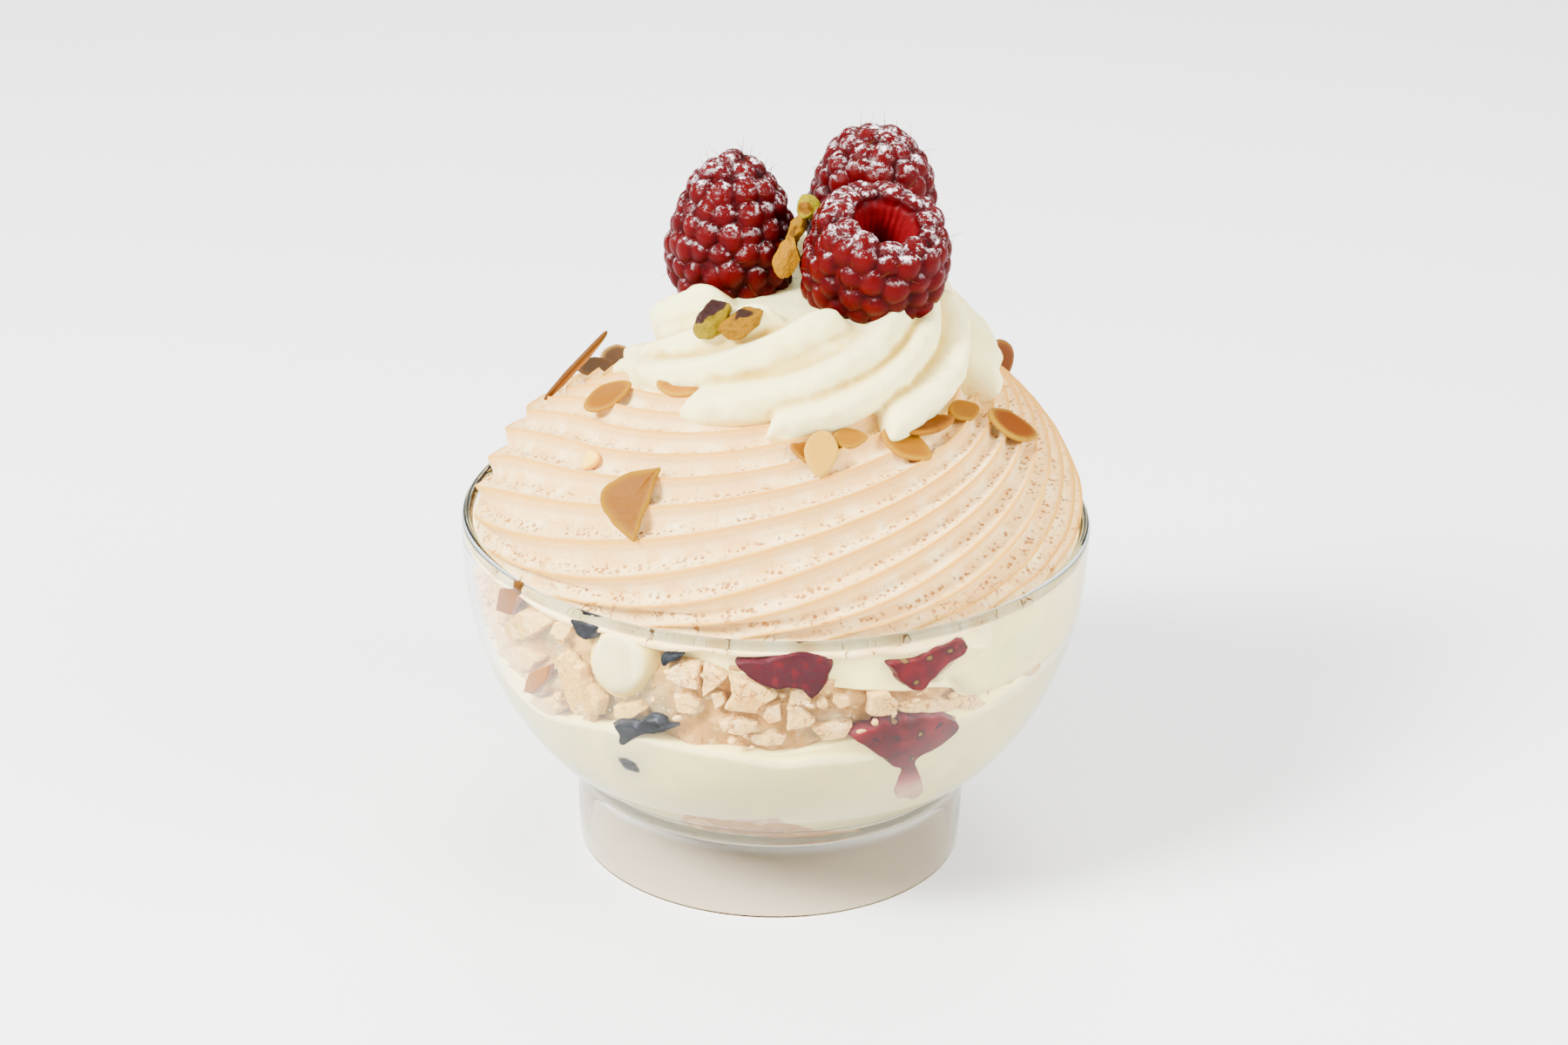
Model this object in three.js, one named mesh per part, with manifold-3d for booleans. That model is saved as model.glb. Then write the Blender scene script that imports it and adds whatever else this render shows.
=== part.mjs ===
// Individual pavlova in its clear footed bowl. Millimetres, +Z up.
// Origin: centre of the foot's underside, on the axis of the bowl.
// Azimuths are in degrees, counter-clockwise from +X seen from above; -90 is the front.
import * as THREE from 'three';
import { mergeVertices } from 'three/addons/utils/BufferGeometryUtils.js';
import Module from 'manifold-3d';

const wasm = await Module();
wasm.setup();

// ---------------------------------------------------------------- driving dimensions

// Bowl: one clear moulded piece, a curved cup on a hollow ring foot.
const RIM_RADIUS = 54;
const RIM_Z = 60.8;
const LIP_RADIUS = 1;
const CUP_JOIN_RADIUS = 33.4;
const CUP_JOIN_Z = 16.7;
const CUP_POWER = 2.28;
const CUP_ROUNDNESS = 1.43;
const WALL = 1.3;
const FLOOR_UNDERSIDE_Z = 14.3;
const FLOOR_THICKNESS = 1.5;
const FOOT_RADIUS = 33.9;
const FOOT_TOP_RADIUS = 34.4;
const FOOT_WALL = 1.4;
const BOWL_SIDES = 40;
const CUP_STEPS = 7;

// Air left between pieces that touch.
const GAP = 0.35;
const INTERIOR_TOP_Z = RIM_Z - LIP_RADIUS - 0.8;

// Meringue dome: one piped swirl whose sharp ridges climb counter-clockwise.
const DOME = { x: 0.7, y: -1.0, radius: 52.8, baseZ: 58.4, height: 39.35, power: 2.07, root: 1.91 };
const DOME_NECK_RADIUS = 51.2;
const DOME_NECK_Z = 61.6;
const DOME_SHOULDER_Z = 64.2;
const DOME_TOP_Z = 93.5;
const DOME_PEAK_Z = 92.5;
// The swirl sinks towards the back left, over these azimuths.
const SAG = { depth: 8, from: 60, rise: 70, to: 212, fall: 60, startZ: 60, fullZ: 90, power: 1.8 };
const RIDGES = 17;
const RIDGE_PHASE = -277.7;
const RIDGE_CROWDING = 0.231;
const RIDGE_DEPTH = 2.1;
const RIDGE_DEPTH_TOP = 1.4;
const RIDGE_SAMPLES = 3;
const TWIST = [1.985, -1.486, 1.053];
const TWIST_Z = 60;
const TWIST_SPAN = 20;

// Whipped cream rosette: fin-like ribs from a star nozzle, noses at the base, winding up.
const ROSETTE = { x: 5.0, y: -2.5, ribs: 10, firstNose: -64, wrap: 126 };
const ROSETTE_RADIUS = 31.2;
const ROSETTE_TOP_Z = 103.8;
const NOSE_Z = 89.8;
const NOSE_SLANT = 1.4;
const NOSE_SLANT_AZIMUTH = 130;
const RIB_REACH = 7.6;
const RIB_HALF_THICKNESS = 3.4;
const RIB_SIDES = 6;
const RIB_STEPS = 6;

// ---------------------------------------------------------------- small tools

const DEG = Math.PI / 180;
const clamp01 = (v) => Math.min(1, Math.max(0, v));
const mix = (a, b, t) => a + (b - a) * t;
const smooth = (t) => t * t * (3 - 2 * t);

/** Repeatable random numbers in 0..1. */
function seededRandom(seed) {
  let state = seed >>> 0;
  return () => {
    state = (state + 0x6d2b79f5) >>> 0;
    let t = Math.imul(state ^ (state >>> 15), state | 1);
    t ^= t + Math.imul(t ^ (t >>> 7), t | 61);
    return ((t ^ (t >>> 14)) >>> 0) / 4294967296;
  };
}

/** A smooth level round the bowl from [azimuth, value] pairs in rising order. */
function levelAround(pairs) {
  return (azimuth) => {
    const a = ((azimuth + 180) % 360 + 360) % 360 - 180;
    let low = pairs[pairs.length - 1];
    let high = pairs[0];
    let lowAzimuth = low[0] - 360;
    let highAzimuth = high[0];
    for (let i = 0; i < pairs.length; i++) {
      if (pairs[i][0] > a) break;
      low = pairs[i];
      high = pairs[(i + 1) % pairs.length];
      lowAzimuth = low[0];
      highAzimuth = i + 1 < pairs.length ? high[0] : high[0] + 360;
    }
    return mix(low[1], high[1], smooth((a - lowAzimuth) / (highAzimuth - lowAzimuth)));
  };
}

/** Closed body from rings of equal length, counter-clockwise about the stacking direction. */
function ringStack(rings, startPole, endPole) {
  const sides = rings[0].length;
  const positions = [];
  const faces = [];
  rings.forEach((ring) => ring.forEach((p) => positions.push(p.x, p.y, p.z)));
  const start = rings.length * sides;
  positions.push(startPole.x, startPole.y, startPole.z, endPole.x, endPole.y, endPole.z);
  for (let j = 0; j + 1 < rings.length; j++) {
    for (let i = 0; i < sides; i++) {
      const a = j * sides + i;
      const b = j * sides + (i + 1) % sides;
      faces.push(a, b, a + sides, b, b + sides, a + sides);
    }
  }
  const last = (rings.length - 1) * sides;
  for (let i = 0; i < sides; i++) {
    const next = (i + 1) % sides;
    faces.push(start, next, i);
    faces.push(start + 1, last + i, last + next);
  }
  const geometry = new THREE.BufferGeometry();
  geometry.setAttribute('position', new THREE.Float32BufferAttribute(positions, 3));
  geometry.setIndex(faces);
  return geometry;
}

function toSolid(geometry) {
  const bare = geometry.clone();
  bare.deleteAttribute('normal');
  bare.deleteAttribute('uv');
  const merged = mergeVertices(bare, 1e-4);
  return new wasm.Manifold(new wasm.Mesh({
    numProp: 3,
    vertProperties: new Float32Array(merged.attributes.position.array),
    triVerts: new Uint32Array(merged.index.array),
  }));
}

function toGeometry(solid) {
  const mesh = solid.getMesh();
  const geometry = new THREE.BufferGeometry();
  geometry.setAttribute('position', new THREE.BufferAttribute(new Float32Array(mesh.vertProperties), 3));
  geometry.setIndex(new THREE.BufferAttribute(new Uint32Array(mesh.triVerts), 1));
  return geometry;
}

const union = (solids) => solids.reduce((all, solid) => all.add(solid));
const cutBy = (solid, cutters) => cutters.reduce((rest, cutter) => rest.subtract(cutter), solid);

/** The largest of the separate lumps that a cut may leave. */
function mainLump(solid) {
  return solid.decompose().sort((a, b) => b.volume() - a.volume())[0];
}

const polar = (radius, azimuth, z) =>
  new THREE.Vector3(radius * Math.cos(azimuth * DEG), radius * Math.sin(azimuth * DEG), z);

// ---------------------------------------------------------------- bowl

/** Outer radius of the cup at a share t of its height, 0 at the foot and 1 at the rim. */
const cupRadius = (t) =>
  mix(CUP_JOIN_RADIUS, RIM_RADIUS, (1 - (1 - t) ** CUP_POWER) ** (1 / CUP_ROUNDNESS));

/** The cup's profile moved inwards by a distance, from the floor up to the lip. */
function cupProfile(inset) {
  const points = [];
  const floorZ = FLOOR_UNDERSIDE_Z + FLOOR_THICKNESS + Math.max(0, inset - WALL);
  for (let i = 0; i <= CUP_STEPS; i++) {
    const t = (i / CUP_STEPS) ** 1.5;
    const step = 1e-3;
    const t0 = Math.max(t - step, 0);
    const t1 = Math.min(t + step, 1);
    const dr = cupRadius(t1) - cupRadius(t0);
    const dz = (t1 - t0) * (RIM_Z - CUP_JOIN_Z);
    const length = Math.hypot(dr, dz);
    const r = cupRadius(t) - inset * dz / length;
    const z = mix(CUP_JOIN_Z, RIM_Z, t) + inset * dr / length;
    if (z > floorZ + 0.2) points.push(new THREE.Vector2(r, z));
  }
  points.sort((a, b) => a.y - b.y);
  const first = points[0];
  points.unshift(new THREE.Vector2(first.x - (first.y - floorZ) * 1.6, floorZ));
  return points;
}

function radiusOn(profile, z) {
  const last = profile.length - 1;
  if (z <= profile[0].y) return profile[0].x;
  if (z >= profile[last].y) return profile[last].x;
  const i = profile.findIndex((p) => p.y > z);
  const t = (z - profile[i - 1].y) / (profile[i].y - profile[i - 1].y);
  return mix(profile[i - 1].x, profile[i].x, t);
}

const FILL_PROFILE = cupProfile(WALL + GAP);
const fillRadius = (z) => radiusOn(FILL_PROFILE, z);

function bowlGeometry() {
  const outline = [new THREE.Vector2(0, FLOOR_UNDERSIDE_Z)];
  outline.push(new THREE.Vector2(FOOT_TOP_RADIUS - FOOT_WALL, FLOOR_UNDERSIDE_Z));
  outline.push(new THREE.Vector2(FOOT_RADIUS - FOOT_WALL, 0));
  outline.push(new THREE.Vector2(FOOT_RADIUS - 0.3, 0));
  outline.push(new THREE.Vector2(FOOT_RADIUS, 0.4));
  outline.push(new THREE.Vector2(FOOT_TOP_RADIUS, CUP_JOIN_Z - 0.4));
  const cup = cupProfile(0).filter((p) => p.x > FOOT_TOP_RADIUS + 0.6 && p.y < RIM_Z - 1);
  outline.push(...cup);
  const lipX = RIM_RADIUS - LIP_RADIUS;
  for (let a = -60; a <= 240; a += 60) {
    outline.push(new THREE.Vector2(lipX + LIP_RADIUS * Math.cos(a * DEG), RIM_Z + LIP_RADIUS * Math.sin(a * DEG)));
  }
  outline.push(new THREE.Vector2(RIM_RADIUS - WALL, INTERIOR_TOP_Z + 0.2));
  const inside = cupProfile(WALL).filter((p) => p.y < RIM_Z - 1.4).reverse();
  outline.push(...inside);
  outline.push(new THREE.Vector2(0, FLOOR_UNDERSIDE_Z + FLOOR_THICKNESS));
  const lathe = new THREE.LatheGeometry(outline, BOWL_SIDES);
  lathe.rotateX(Math.PI / 2);
  return lathe;
}

// ---------------------------------------------------------------- layers in the bowl

const CRUMB_TOP = levelAround([
  [-175, 17.2], [-118, 17.6], [-104, 22.5], [-88, 25.2], [-74, 21.5], [-56, 17.6],
  [20, 17.2], [60, 20.5], [95, 24], [125, 18],
]);
const CUSTARD_TOP = levelAround([
  [-180, 46], [-160, 42], [-141, 38], [-120, 41], [-92, 40], [-62, 44], [-45, 45.6],
  [0, 46.5], [50, 43], [110, 40.5],
]);
const RUBBLE_TOP = levelAround([
  [-180, 55], [-150, 56.6], [-100, 56.4], [-84, 54.4], [-62, 52], [-46, 48.2],
  [-10, 48.6], [30, 51], [80, 55], [130, 56.4],
]);
const DOME_BOTTOM = levelAround([
  [-180, 58.4], [-110, 58.2], [-88, 58.9], [-66, 57.4], [-45, 58.6], [20, 57.8], [75, 58.7], [130, 57.8],
]);
const FILL_FLOOR_Z = FILL_PROFILE[0].y;
const LAYER_SIDES = 20;
const LAYER_SAGITTA = Math.cos(Math.PI / LAYER_SIDES);

/**
 * A layer that runs right across the bowl. Its top and bottom are shallow cones between
 * their mean level on the axis and a level that varies round the wall; reach draws the
 * edge in from the wall, and a gap lifts or lowers a face off the layer it meets.
 */
function layerGeometry({ low, high, lowGap = 0, highGap = 0, reach = () => 1, wallRows = 2 }) {
  const azimuths = Array.from({ length: LAYER_SIDES }, (_, i) => i * 360 / LAYER_SIDES);
  const mean = (level) => azimuths.reduce((sum, a) => sum + level(a), 0) / LAYER_SIDES;
  const lowMiddle = mean(low) + lowGap;
  const highMiddle = mean(high) - highGap;
  const rings = [];
  for (let k = 0; k <= wallRows; k++) {
    rings.push(azimuths.map((a) => {
      const share = reach(a);
      const edgeLow = low(a) + lowGap;
      const edgeHigh = high(a) - highGap;
      const edge = mix(edgeLow, edgeHigh, k / wallRows);
      const middle = mix(lowMiddle, highMiddle, k / wallRows);
      return polar(fillRadius(edge) * share, a, mix(middle, edge, share));
    }));
  }
  return ringStack(rings, new THREE.Vector3(0, 0, lowMiddle), new THREE.Vector3(0, 0, highMiddle));
}

const flat = (z) => () => z;

const baseCrumb = () => toSolid(layerGeometry({ low: flat(FILL_FLOOR_Z), high: CRUMB_TOP, wallRows: 3 }));
const custard = () => toSolid(layerGeometry({ low: CRUMB_TOP, lowGap: GAP, high: CUSTARD_TOP, wallRows: 4 }));
const rubbleCore = () => toSolid(layerGeometry({
  low: CUSTARD_TOP,
  lowGap: GAP,
  high: RUBBLE_TOP,
  reach: flat(0.95),
}));
const UPPER_CREAM_REACH = levelAround([
  [-180, 0.9], [-100, 0.9], [-74, 0.97], [-60, 1], [30, 1], [70, 0.93],
]);
const upperCream = () => toSolid(layerGeometry({
  low: RUBBLE_TOP,
  lowGap: GAP,
  high: DOME_BOTTOM,
  highGap: 2 * GAP,
  reach: UPPER_CREAM_REACH,
}));

// ---------------------------------------------------------------- broken meringue chunks

const CHUNKS = 17;
const CHUNK_SIZE = [5.5, 9.5];

/** An angular lump, a squat jittered prism with five corners top and bottom. */
function chunkGeometry(random, size) {
  const corners = 5;
  const jitter = (amount) => 1 + (random() - 0.5) * amount;
  const ring = (z, share) => Array.from({ length: corners }, (_, i) => {
    const a = i * 360 / corners + (random() - 0.5) * 24;
    return polar(size / 2 * share * jitter(0.35), a, z * jitter(0.3));
  });
  const half = size * 0.32;
  const lower = ring(-half, 0.85);
  const upper = ring(half, 1);
  const lump = ringStack([lower, upper], new THREE.Vector3(0, 0, -half), new THREE.Vector3(0, 0, half));
  const turn = new THREE.Euler(random() * 6, random() * 6, random() * 6);
  lump.applyMatrix4(new THREE.Matrix4().makeRotationFromEuler(turn));
  return lump;
}

/** Presses what would cross the wall or a neighbouring layer flat against it. */
function keepInRubble(geometry) {
  const corners = geometry.attributes.position;
  for (let i = 0; i < corners.count; i++) {
    const x = corners.getX(i);
    const y = corners.getY(i);
    const azimuth = Math.atan2(y, x) / DEG;
    const z = Math.min(RUBBLE_TOP(azimuth) - 0.1, Math.max(CUSTARD_TOP(azimuth) + GAP + 0.1, corners.getZ(i)));
    const share = Math.min(1, fillRadius(z) * LAYER_SAGITTA / Math.hypot(x, y));
    corners.setXYZ(i, x * share, y * share, z);
  }
  return geometry;
}

function meringueRubble() {
  const random = seededRandom(41);
  const lumps = [];
  for (let i = 0; i < CHUNKS; i++) {
    const azimuth = i * 360 / CHUNKS + (random() - 0.5) * 6;
    const low = CUSTARD_TOP(azimuth);
    const high = RUBBLE_TOP(azimuth);
    const z = mix(low, high, i % 2 ? 0.3 : 0.68);
    const size = Math.min(mix(CHUNK_SIZE[0], CHUNK_SIZE[1], random()), (high - low) * 0.95);
    const at = polar(fillRadius(z) - size * 0.36, azimuth, z);
    lumps.push(toSolid(keepInRubble(chunkGeometry(random, size).translate(at.x, at.y, at.z))));
  }
  const flakeAt = wallFrame(-138, 44.5, 1.2);
  flakeAt.multiply(new THREE.Matrix4().makeRotationZ(50 * DEG));
  lumps.push(toSolid(keepInRubble(flakeGeometry(8, 4.5).applyMatrix4(flakeAt))));
  return union([rubbleCore(), ...lumps]);
}

// ---------------------------------------------------------------- fruit and cream at the wall

/** Frame on the wall: X to the right seen from outside, Y up, Z outwards. */
function wallFrame(azimuth, z, depth) {
  const outward = polar(1, azimuth, 0);
  const right = polar(1, azimuth + 90, 0);
  const up = new THREE.Vector3(0, 0, 1);
  const at = polar(fillRadius(z) - depth, azimuth, z);
  return new THREE.Matrix4().makeBasis(right, up, outward).setPosition(at);
}

/** A round body about its own +Z from radii given by a formula of 0..1. */
function roundBody(height, radiusAt, sides, rows) {
  const rings = [];
  for (let j = 1; j < rows; j++) {
    const u = j / rows;
    const r = radiusAt(u);
    const ring = [];
    for (let i = 0; i < sides; i++) ring.push(polar(r, i * 360 / sides, (u - 0.5) * height));
    rings.push(ring);
  }
  return ringStack(rings, new THREE.Vector3(0, 0, -height / 2), new THREE.Vector3(0, 0, height / 2));
}

const strawberryRadius = (u) => (u < 0.68
  ? Math.sin(Math.PI / 2 * u / 0.68) ** 0.85
  : Math.sqrt(1 - ((u - 0.68) / 0.34) ** 2));
const ballRadius = (u) => Math.sqrt(1 - (2 * u - 1) ** 2);

/** A cut piece of fruit with its point down the local Y, flattened against the wall. */
function fruitPiece({ azimuth, z, width, height, depth, tilt = 0, shape, sides = 9, rows = 5 }, grow) {
  const body = roundBody(height + 2 * grow, shape, sides, rows);
  body.rotateX(-Math.PI / 2);
  body.scale(width / 2 + grow, 1, depth / 2 + grow);
  body.rotateZ(tilt * DEG);
  body.applyMatrix4(wallFrame(azimuth, z, depth * 0.36));
  return toSolid(body);
}

const STRAWBERRIES = [
  { azimuth: -88, z: 55.2, width: 16.5, height: 9.4, depth: 11, tilt: -6, shape: ballRadius },
  { azimuth: -60, z: 54.6, width: 12.5, height: 9.6, depth: 10, tilt: -24, shape: strawberryRadius },
  { azimuth: -63.5, z: 36.2, width: 20, height: 21, depth: 12, tilt: 5, shape: strawberryRadius, rows: 7 },
  { azimuth: 38, z: 53.6, width: 15, height: 10, depth: 11, tilt: 18, shape: strawberryRadius },
  { azimuth: 97, z: 41.5, width: 18, height: 17, depth: 12, tilt: -12, shape: strawberryRadius },
  { azimuth: 142, z: 53.4, width: 16, height: 9.6, depth: 11, tilt: 9, shape: ballRadius },
];
const BLUEBERRIES = [
  { azimuth: -125.5, z: 57.2, width: 9, height: 7, depth: 9, shape: ballRadius, sides: 8, rows: 4 },
  { azimuth: -113.5, z: 41.4, width: 10.5, height: 5.6, depth: 8, tilt: 6, shape: ballRadius, sides: 8, rows: 4 },
  { azimuth: -116.5, z: 33.6, width: 6.2, height: 5, depth: 6, tilt: -30, shape: ballRadius, sides: 8, rows: 4 },
  { azimuth: -105, z: 56.4, width: 5, height: 3.4, depth: 5, shape: ballRadius, rows: 4, sides: 8 },
  { azimuth: 66, z: 48.5, width: 10, height: 9, depth: 9, shape: ballRadius, sides: 8, rows: 4 },
  { azimuth: 119, z: 33.5, width: 9, height: 8, depth: 8, shape: ballRadius, sides: 8, rows: 4 },
  { azimuth: 171, z: 47.5, width: 10, height: 9, depth: 9, shape: ballRadius, sides: 8, rows: 4 },
];
const dollopRadius = (u) => (u < 0.35
  ? Math.sqrt(1 - ((0.35 - u) / 0.36) ** 2)
  : mix(1, 0.78, (u - 0.35) / 0.65) * Math.sqrt(1 - clamp01((u - 0.8) / 0.21) ** 2));
const DOLLOPS = [
  { azimuth: -117, z: 52.8, width: 12.4, height: 13, depth: 11, shape: dollopRadius, rows: 6 },
  { azimuth: 84, z: 53.2, width: 12, height: 10.5, depth: 11, shape: dollopRadius, rows: 6 },
];

// ---------------------------------------------------------------- meringue dome

/** Radius of the swirl's crests at a height. */
function crestRadius(z) {
  const t = clamp01((z - DOME.baseZ) / DOME.height);
  const body = DOME.radius * (1 - t ** DOME.power) ** (1 / DOME.root);
  const blend = smooth(clamp01((z - DOME_NECK_Z) / (DOME_SHOULDER_Z - DOME_NECK_Z)));
  return mix(Math.min(DOME_NECK_RADIUS, body), body, blend);
}

/** The dome sits a little off the bowl's axis above the rim, and on it inside the bowl. */
function domeCentre(z) {
  const share = smooth(clamp01((z - DOME_NECK_Z) / (DOME_SHOULDER_Z + 4 - DOME_NECK_Z)));
  return new THREE.Vector3(DOME.x * share, DOME.y * share, 0);
}

/** How far the swirl sinks below its round form at a height of that form. */
function domeSag(azimuth, z) {
  const a = ((azimuth % 360) + 360) % 360;
  const share = smooth(clamp01((a - SAG.from) / SAG.rise)) * smooth(clamp01((SAG.to - a) / SAG.fall));
  return SAG.depth * share * Math.max(0, (z - SAG.startZ) / (SAG.fullZ - SAG.startZ)) ** SAG.power;
}

function ridgeTwist(z) {
  const s = (z - TWIST_Z) / TWIST_SPAN;
  return (TWIST[0] * s + TWIST[1] * s ** 2 + TWIST[2] * s ** 3) / DEG;
}

/** Azimuth of a place between ridges at the twist's zero; the ridges crowd at the front. */
function ridgeAzimuth(place) {
  const even = place * 360 / RIDGES + RIDGE_PHASE;
  return even - RIDGE_CROWDING / DEG * Math.cos(even * DEG);
}

/** Outward normal of the crest surface in the plane of radius and height. */
function crestNormal(z) {
  const step = 0.2;
  const dr = crestRadius(z + step) - crestRadius(z - step);
  const length = Math.hypot(dr, 2 * step);
  return { r: 2 * step / length, z: -dr / length };
}

function domeRing(z, level) {
  const columns = RIDGES * RIDGE_SAMPLES;
  const normal = crestNormal(z);
  const centre = domeCentre(z);
  const fadeIn = smooth(clamp01((z - DOME_NECK_Z) / (DOME_SHOULDER_Z - DOME_NECK_Z)));
  const depth = mix(RIDGE_DEPTH, RIDGE_DEPTH_TOP, clamp01((z - 62) / 26)) * fadeIn;
  return Array.from({ length: columns }, (_, i) => {
    const place = i / RIDGE_SAMPLES;
    const azimuth = ridgeAzimuth(place) + ridgeTwist(z);
    const sink = depth * Math.abs(Math.sin(Math.PI * place));
    const height = level ? level(azimuth) : z - sink * normal.z - domeSag(azimuth, z);
    return polar(crestRadius(z) - sink * normal.r, azimuth, height).add(centre);
  });
}

function domeBody() {
  const rings = [domeRing(59, DOME_BOTTOM)];
  for (const z of [60.2, DOME_NECK_Z]) rings.push(domeRing(z));
  const rows = 12;
  for (let k = 0; k <= rows; k++) {
    const share = k / rows;
    rings.push(domeRing(mix(62.7, DOME_TOP_Z, share ** 0.92)));
  }
  return toSolid(ringStack(rings, new THREE.Vector3(0, 0, 58.2), domeCentre(DOME_TOP_Z).setZ(DOME_PEAK_Z)));
}

const COVER = 1.2;

/** Smooth body just over the crests, for cutting what lies on the dome. */
function domeCover() {
  const rings = [];
  const azimuths = Array.from({ length: 24 }, (_, i) => i * 15);
  for (let k = 0; k <= 6; k++) {
    const z = mix(76, DOME_TOP_Z, (k / 6) ** 0.8);
    const normal = crestNormal(z);
    const r = crestRadius(z) + COVER * normal.r;
    rings.push(azimuths.map((a) =>
      polar(r, a, z + COVER * normal.z - domeSag(a, z)).add(domeCentre(z))));
  }
  const centre = domeCentre(DOME_TOP_Z);
  return toSolid(ringStack(rings, centre.clone().setZ(68), centre.clone().setZ(DOME_PEAK_Z + 2 * COVER)));
}

// ---------------------------------------------------------------- almond flakes

const FLAKE_THICKNESS = 1.2;

/** A sliced almond: a pointed oval, or what is left of one right of a straight break. */
function flakeGeometry(length, width, breakAt = -1, grow = 0) {
  const corners = 8;
  const shape = new THREE.Shape();
  const points = [];
  for (let i = 0; i < corners; i++) {
    const a = i * 2 * Math.PI / corners;
    const x = Math.cos(a);
    const taper = 1 - 0.3 * Math.max(0, x);
    const along = Math.max(x * (length / 2 + grow), breakAt * length / 2 - grow);
    points.push(new THREE.Vector2(along, Math.sin(a) * taper * (width / 2 + grow)));
  }
  shape.setFromPoints(points.filter((p, i) => i === 0 || p.distanceTo(points[i - 1]) > 0.3));
  const depth = FLAKE_THICKNESS + 2 * grow;
  const flake = new THREE.ExtrudeGeometry(shape, { depth, bevelEnabled: false, steps: 1 });
  return flake.translate(0, 0, -depth / 2);
}

/** Frame on the dome: X along the azimuth, Y up the slope, Z out of the surface. */
function domeFrame(azimuth, z, lift) {
  const normal = crestNormal(z);
  const out = polar(normal.r, azimuth, normal.z);
  const along = polar(1, azimuth + 90, 0);
  const up = new THREE.Vector3().crossVectors(out, along);
  const at = polar(crestRadius(z), azimuth, z - domeSag(azimuth, z)).add(domeCentre(z));
  at.addScaledVector(out, lift);
  return new THREE.Matrix4().makeBasis(along, up, out).setPosition(at);
}

// spin turns the flake on the surface, pitch lifts its far end, lean tips it about its length.
const FLAKES = [
  { azimuth: -118, z: 79.4, length: 17.2, width: 12.8, breakAt: 0, spin: -180, lift: 0.2 },
  { azimuth: -148, z: 88.7, length: 8.8, width: 4.6, spin: 69, lean: 24, lift: 0.6 },
  { azimuth: 171, z: 88.2, length: 16.5, width: 5.4, spin: 97, pitch: 18, lean: -13, lift: 2.9 },
  { azimuth: 144, z: 87.3, length: 6.5, width: 5, spin: 134, pitch: -19, lean: 83, lift: 0.3 },
  { azimuth: 150, z: 85.8, length: 7, width: 3.4, spin: 136, pitch: -24, lean: 75, lift: 0.3 },
  { azimuth: -129, z: 92.2, length: 9, width: 5, spin: 5, lift: 0.2 },
  { azimuth: -139, z: 82.3, length: 4.4, width: 3.8, breakAt: -0.3, spin: 30, lift: -0.8 },
  { azimuth: -80, z: 87, length: 8.9, width: 5.6, spin: -103, lift: 0.4 },
  { azimuth: -84, z: 88, length: 6.4, width: 4.4, breakAt: -0.3, spin: -78, lift: -0.3 },
  { azimuth: -71, z: 88.6, length: 6, width: 4, spin: -1, lift: -0.3 },
  { azimuth: -56, z: 87, length: 9, width: 6, spin: -50, lift: -0.2 },
  { azimuth: -47, z: 88, length: 10.8, width: 4.8, spin: -3, lean: -22, lift: 0.7 },
  { azimuth: -30, z: 88, length: 7.5, width: 4.4, spin: -12, lift: -0.2 },
  { azimuth: -20, z: 83.7, length: 11.8, width: 6.6, spin: -46, lift: 0.4 },
  { azimuth: 23, z: 83.8, length: 7.5, width: 6, spin: -90, pitch: -34, lean: 81, lift: 0.6 },
  { azimuth: 48, z: 84, length: 11, width: 6, spin: 35, lift: 0.1 },
  { azimuth: 78, z: 88.6, length: 9, width: 5, spin: -20, lift: 0.1 },
  { azimuth: 96, z: 76.5, length: 13, width: 9, breakAt: -0.1, spin: 120, lift: 0.1 },
  { azimuth: 120, z: 85.2, length: 10, width: 5, spin: 64, lean: 20, lift: 0.4 },
];

/** The flakes in place, grown all round by a gap when they are to cut what lies on them. */
function flakeSolids(grow = 0) {
  return FLAKES.map(({ azimuth, z, length, width, breakAt, spin, pitch = 0, lean = 0, lift }) => {
    const frame = domeFrame(azimuth, z, lift);
    frame.multiply(new THREE.Matrix4().makeRotationZ(spin * DEG));
    frame.multiply(new THREE.Matrix4().makeRotationY(-pitch * DEG));
    frame.multiply(new THREE.Matrix4().makeRotationX(lean * DEG));
    return toSolid(flakeGeometry(length, width, breakAt, grow).applyMatrix4(frame));
  });
}

// ---------------------------------------------------------------- cream rosette

/** Crest of a rib and the way it points, s from 0 at its nose to 1 under the fruit. */
function ribCrest(nose, s) {
  const azimuth = nose + ROSETTE.wrap * s;
  const climb = clamp01(s);
  const spread = 1.8 * (1 - climb) ** 4;
  const radius = ROSETTE_RADIUS + spread - 1.2 * climb - 7 * climb ** 4;
  const slant = NOSE_SLANT * Math.cos((nose - NOSE_SLANT_AZIMUTH) * DEG);
  const noseZ = NOSE_Z + slant - domeSag(nose, NOSE_Z);
  const z = mix(noseZ, ROSETTE_TOP_Z, climb ** 1.15);
  const at = polar(radius, azimuth, z).add(new THREE.Vector3(ROSETTE.x, ROSETTE.y, 0));
  const tilt = mix(-4, 62, climb ** 1.6) * DEG;
  return { at, out: polar(Math.cos(tilt), azimuth, Math.sin(tilt)) };
}

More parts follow.
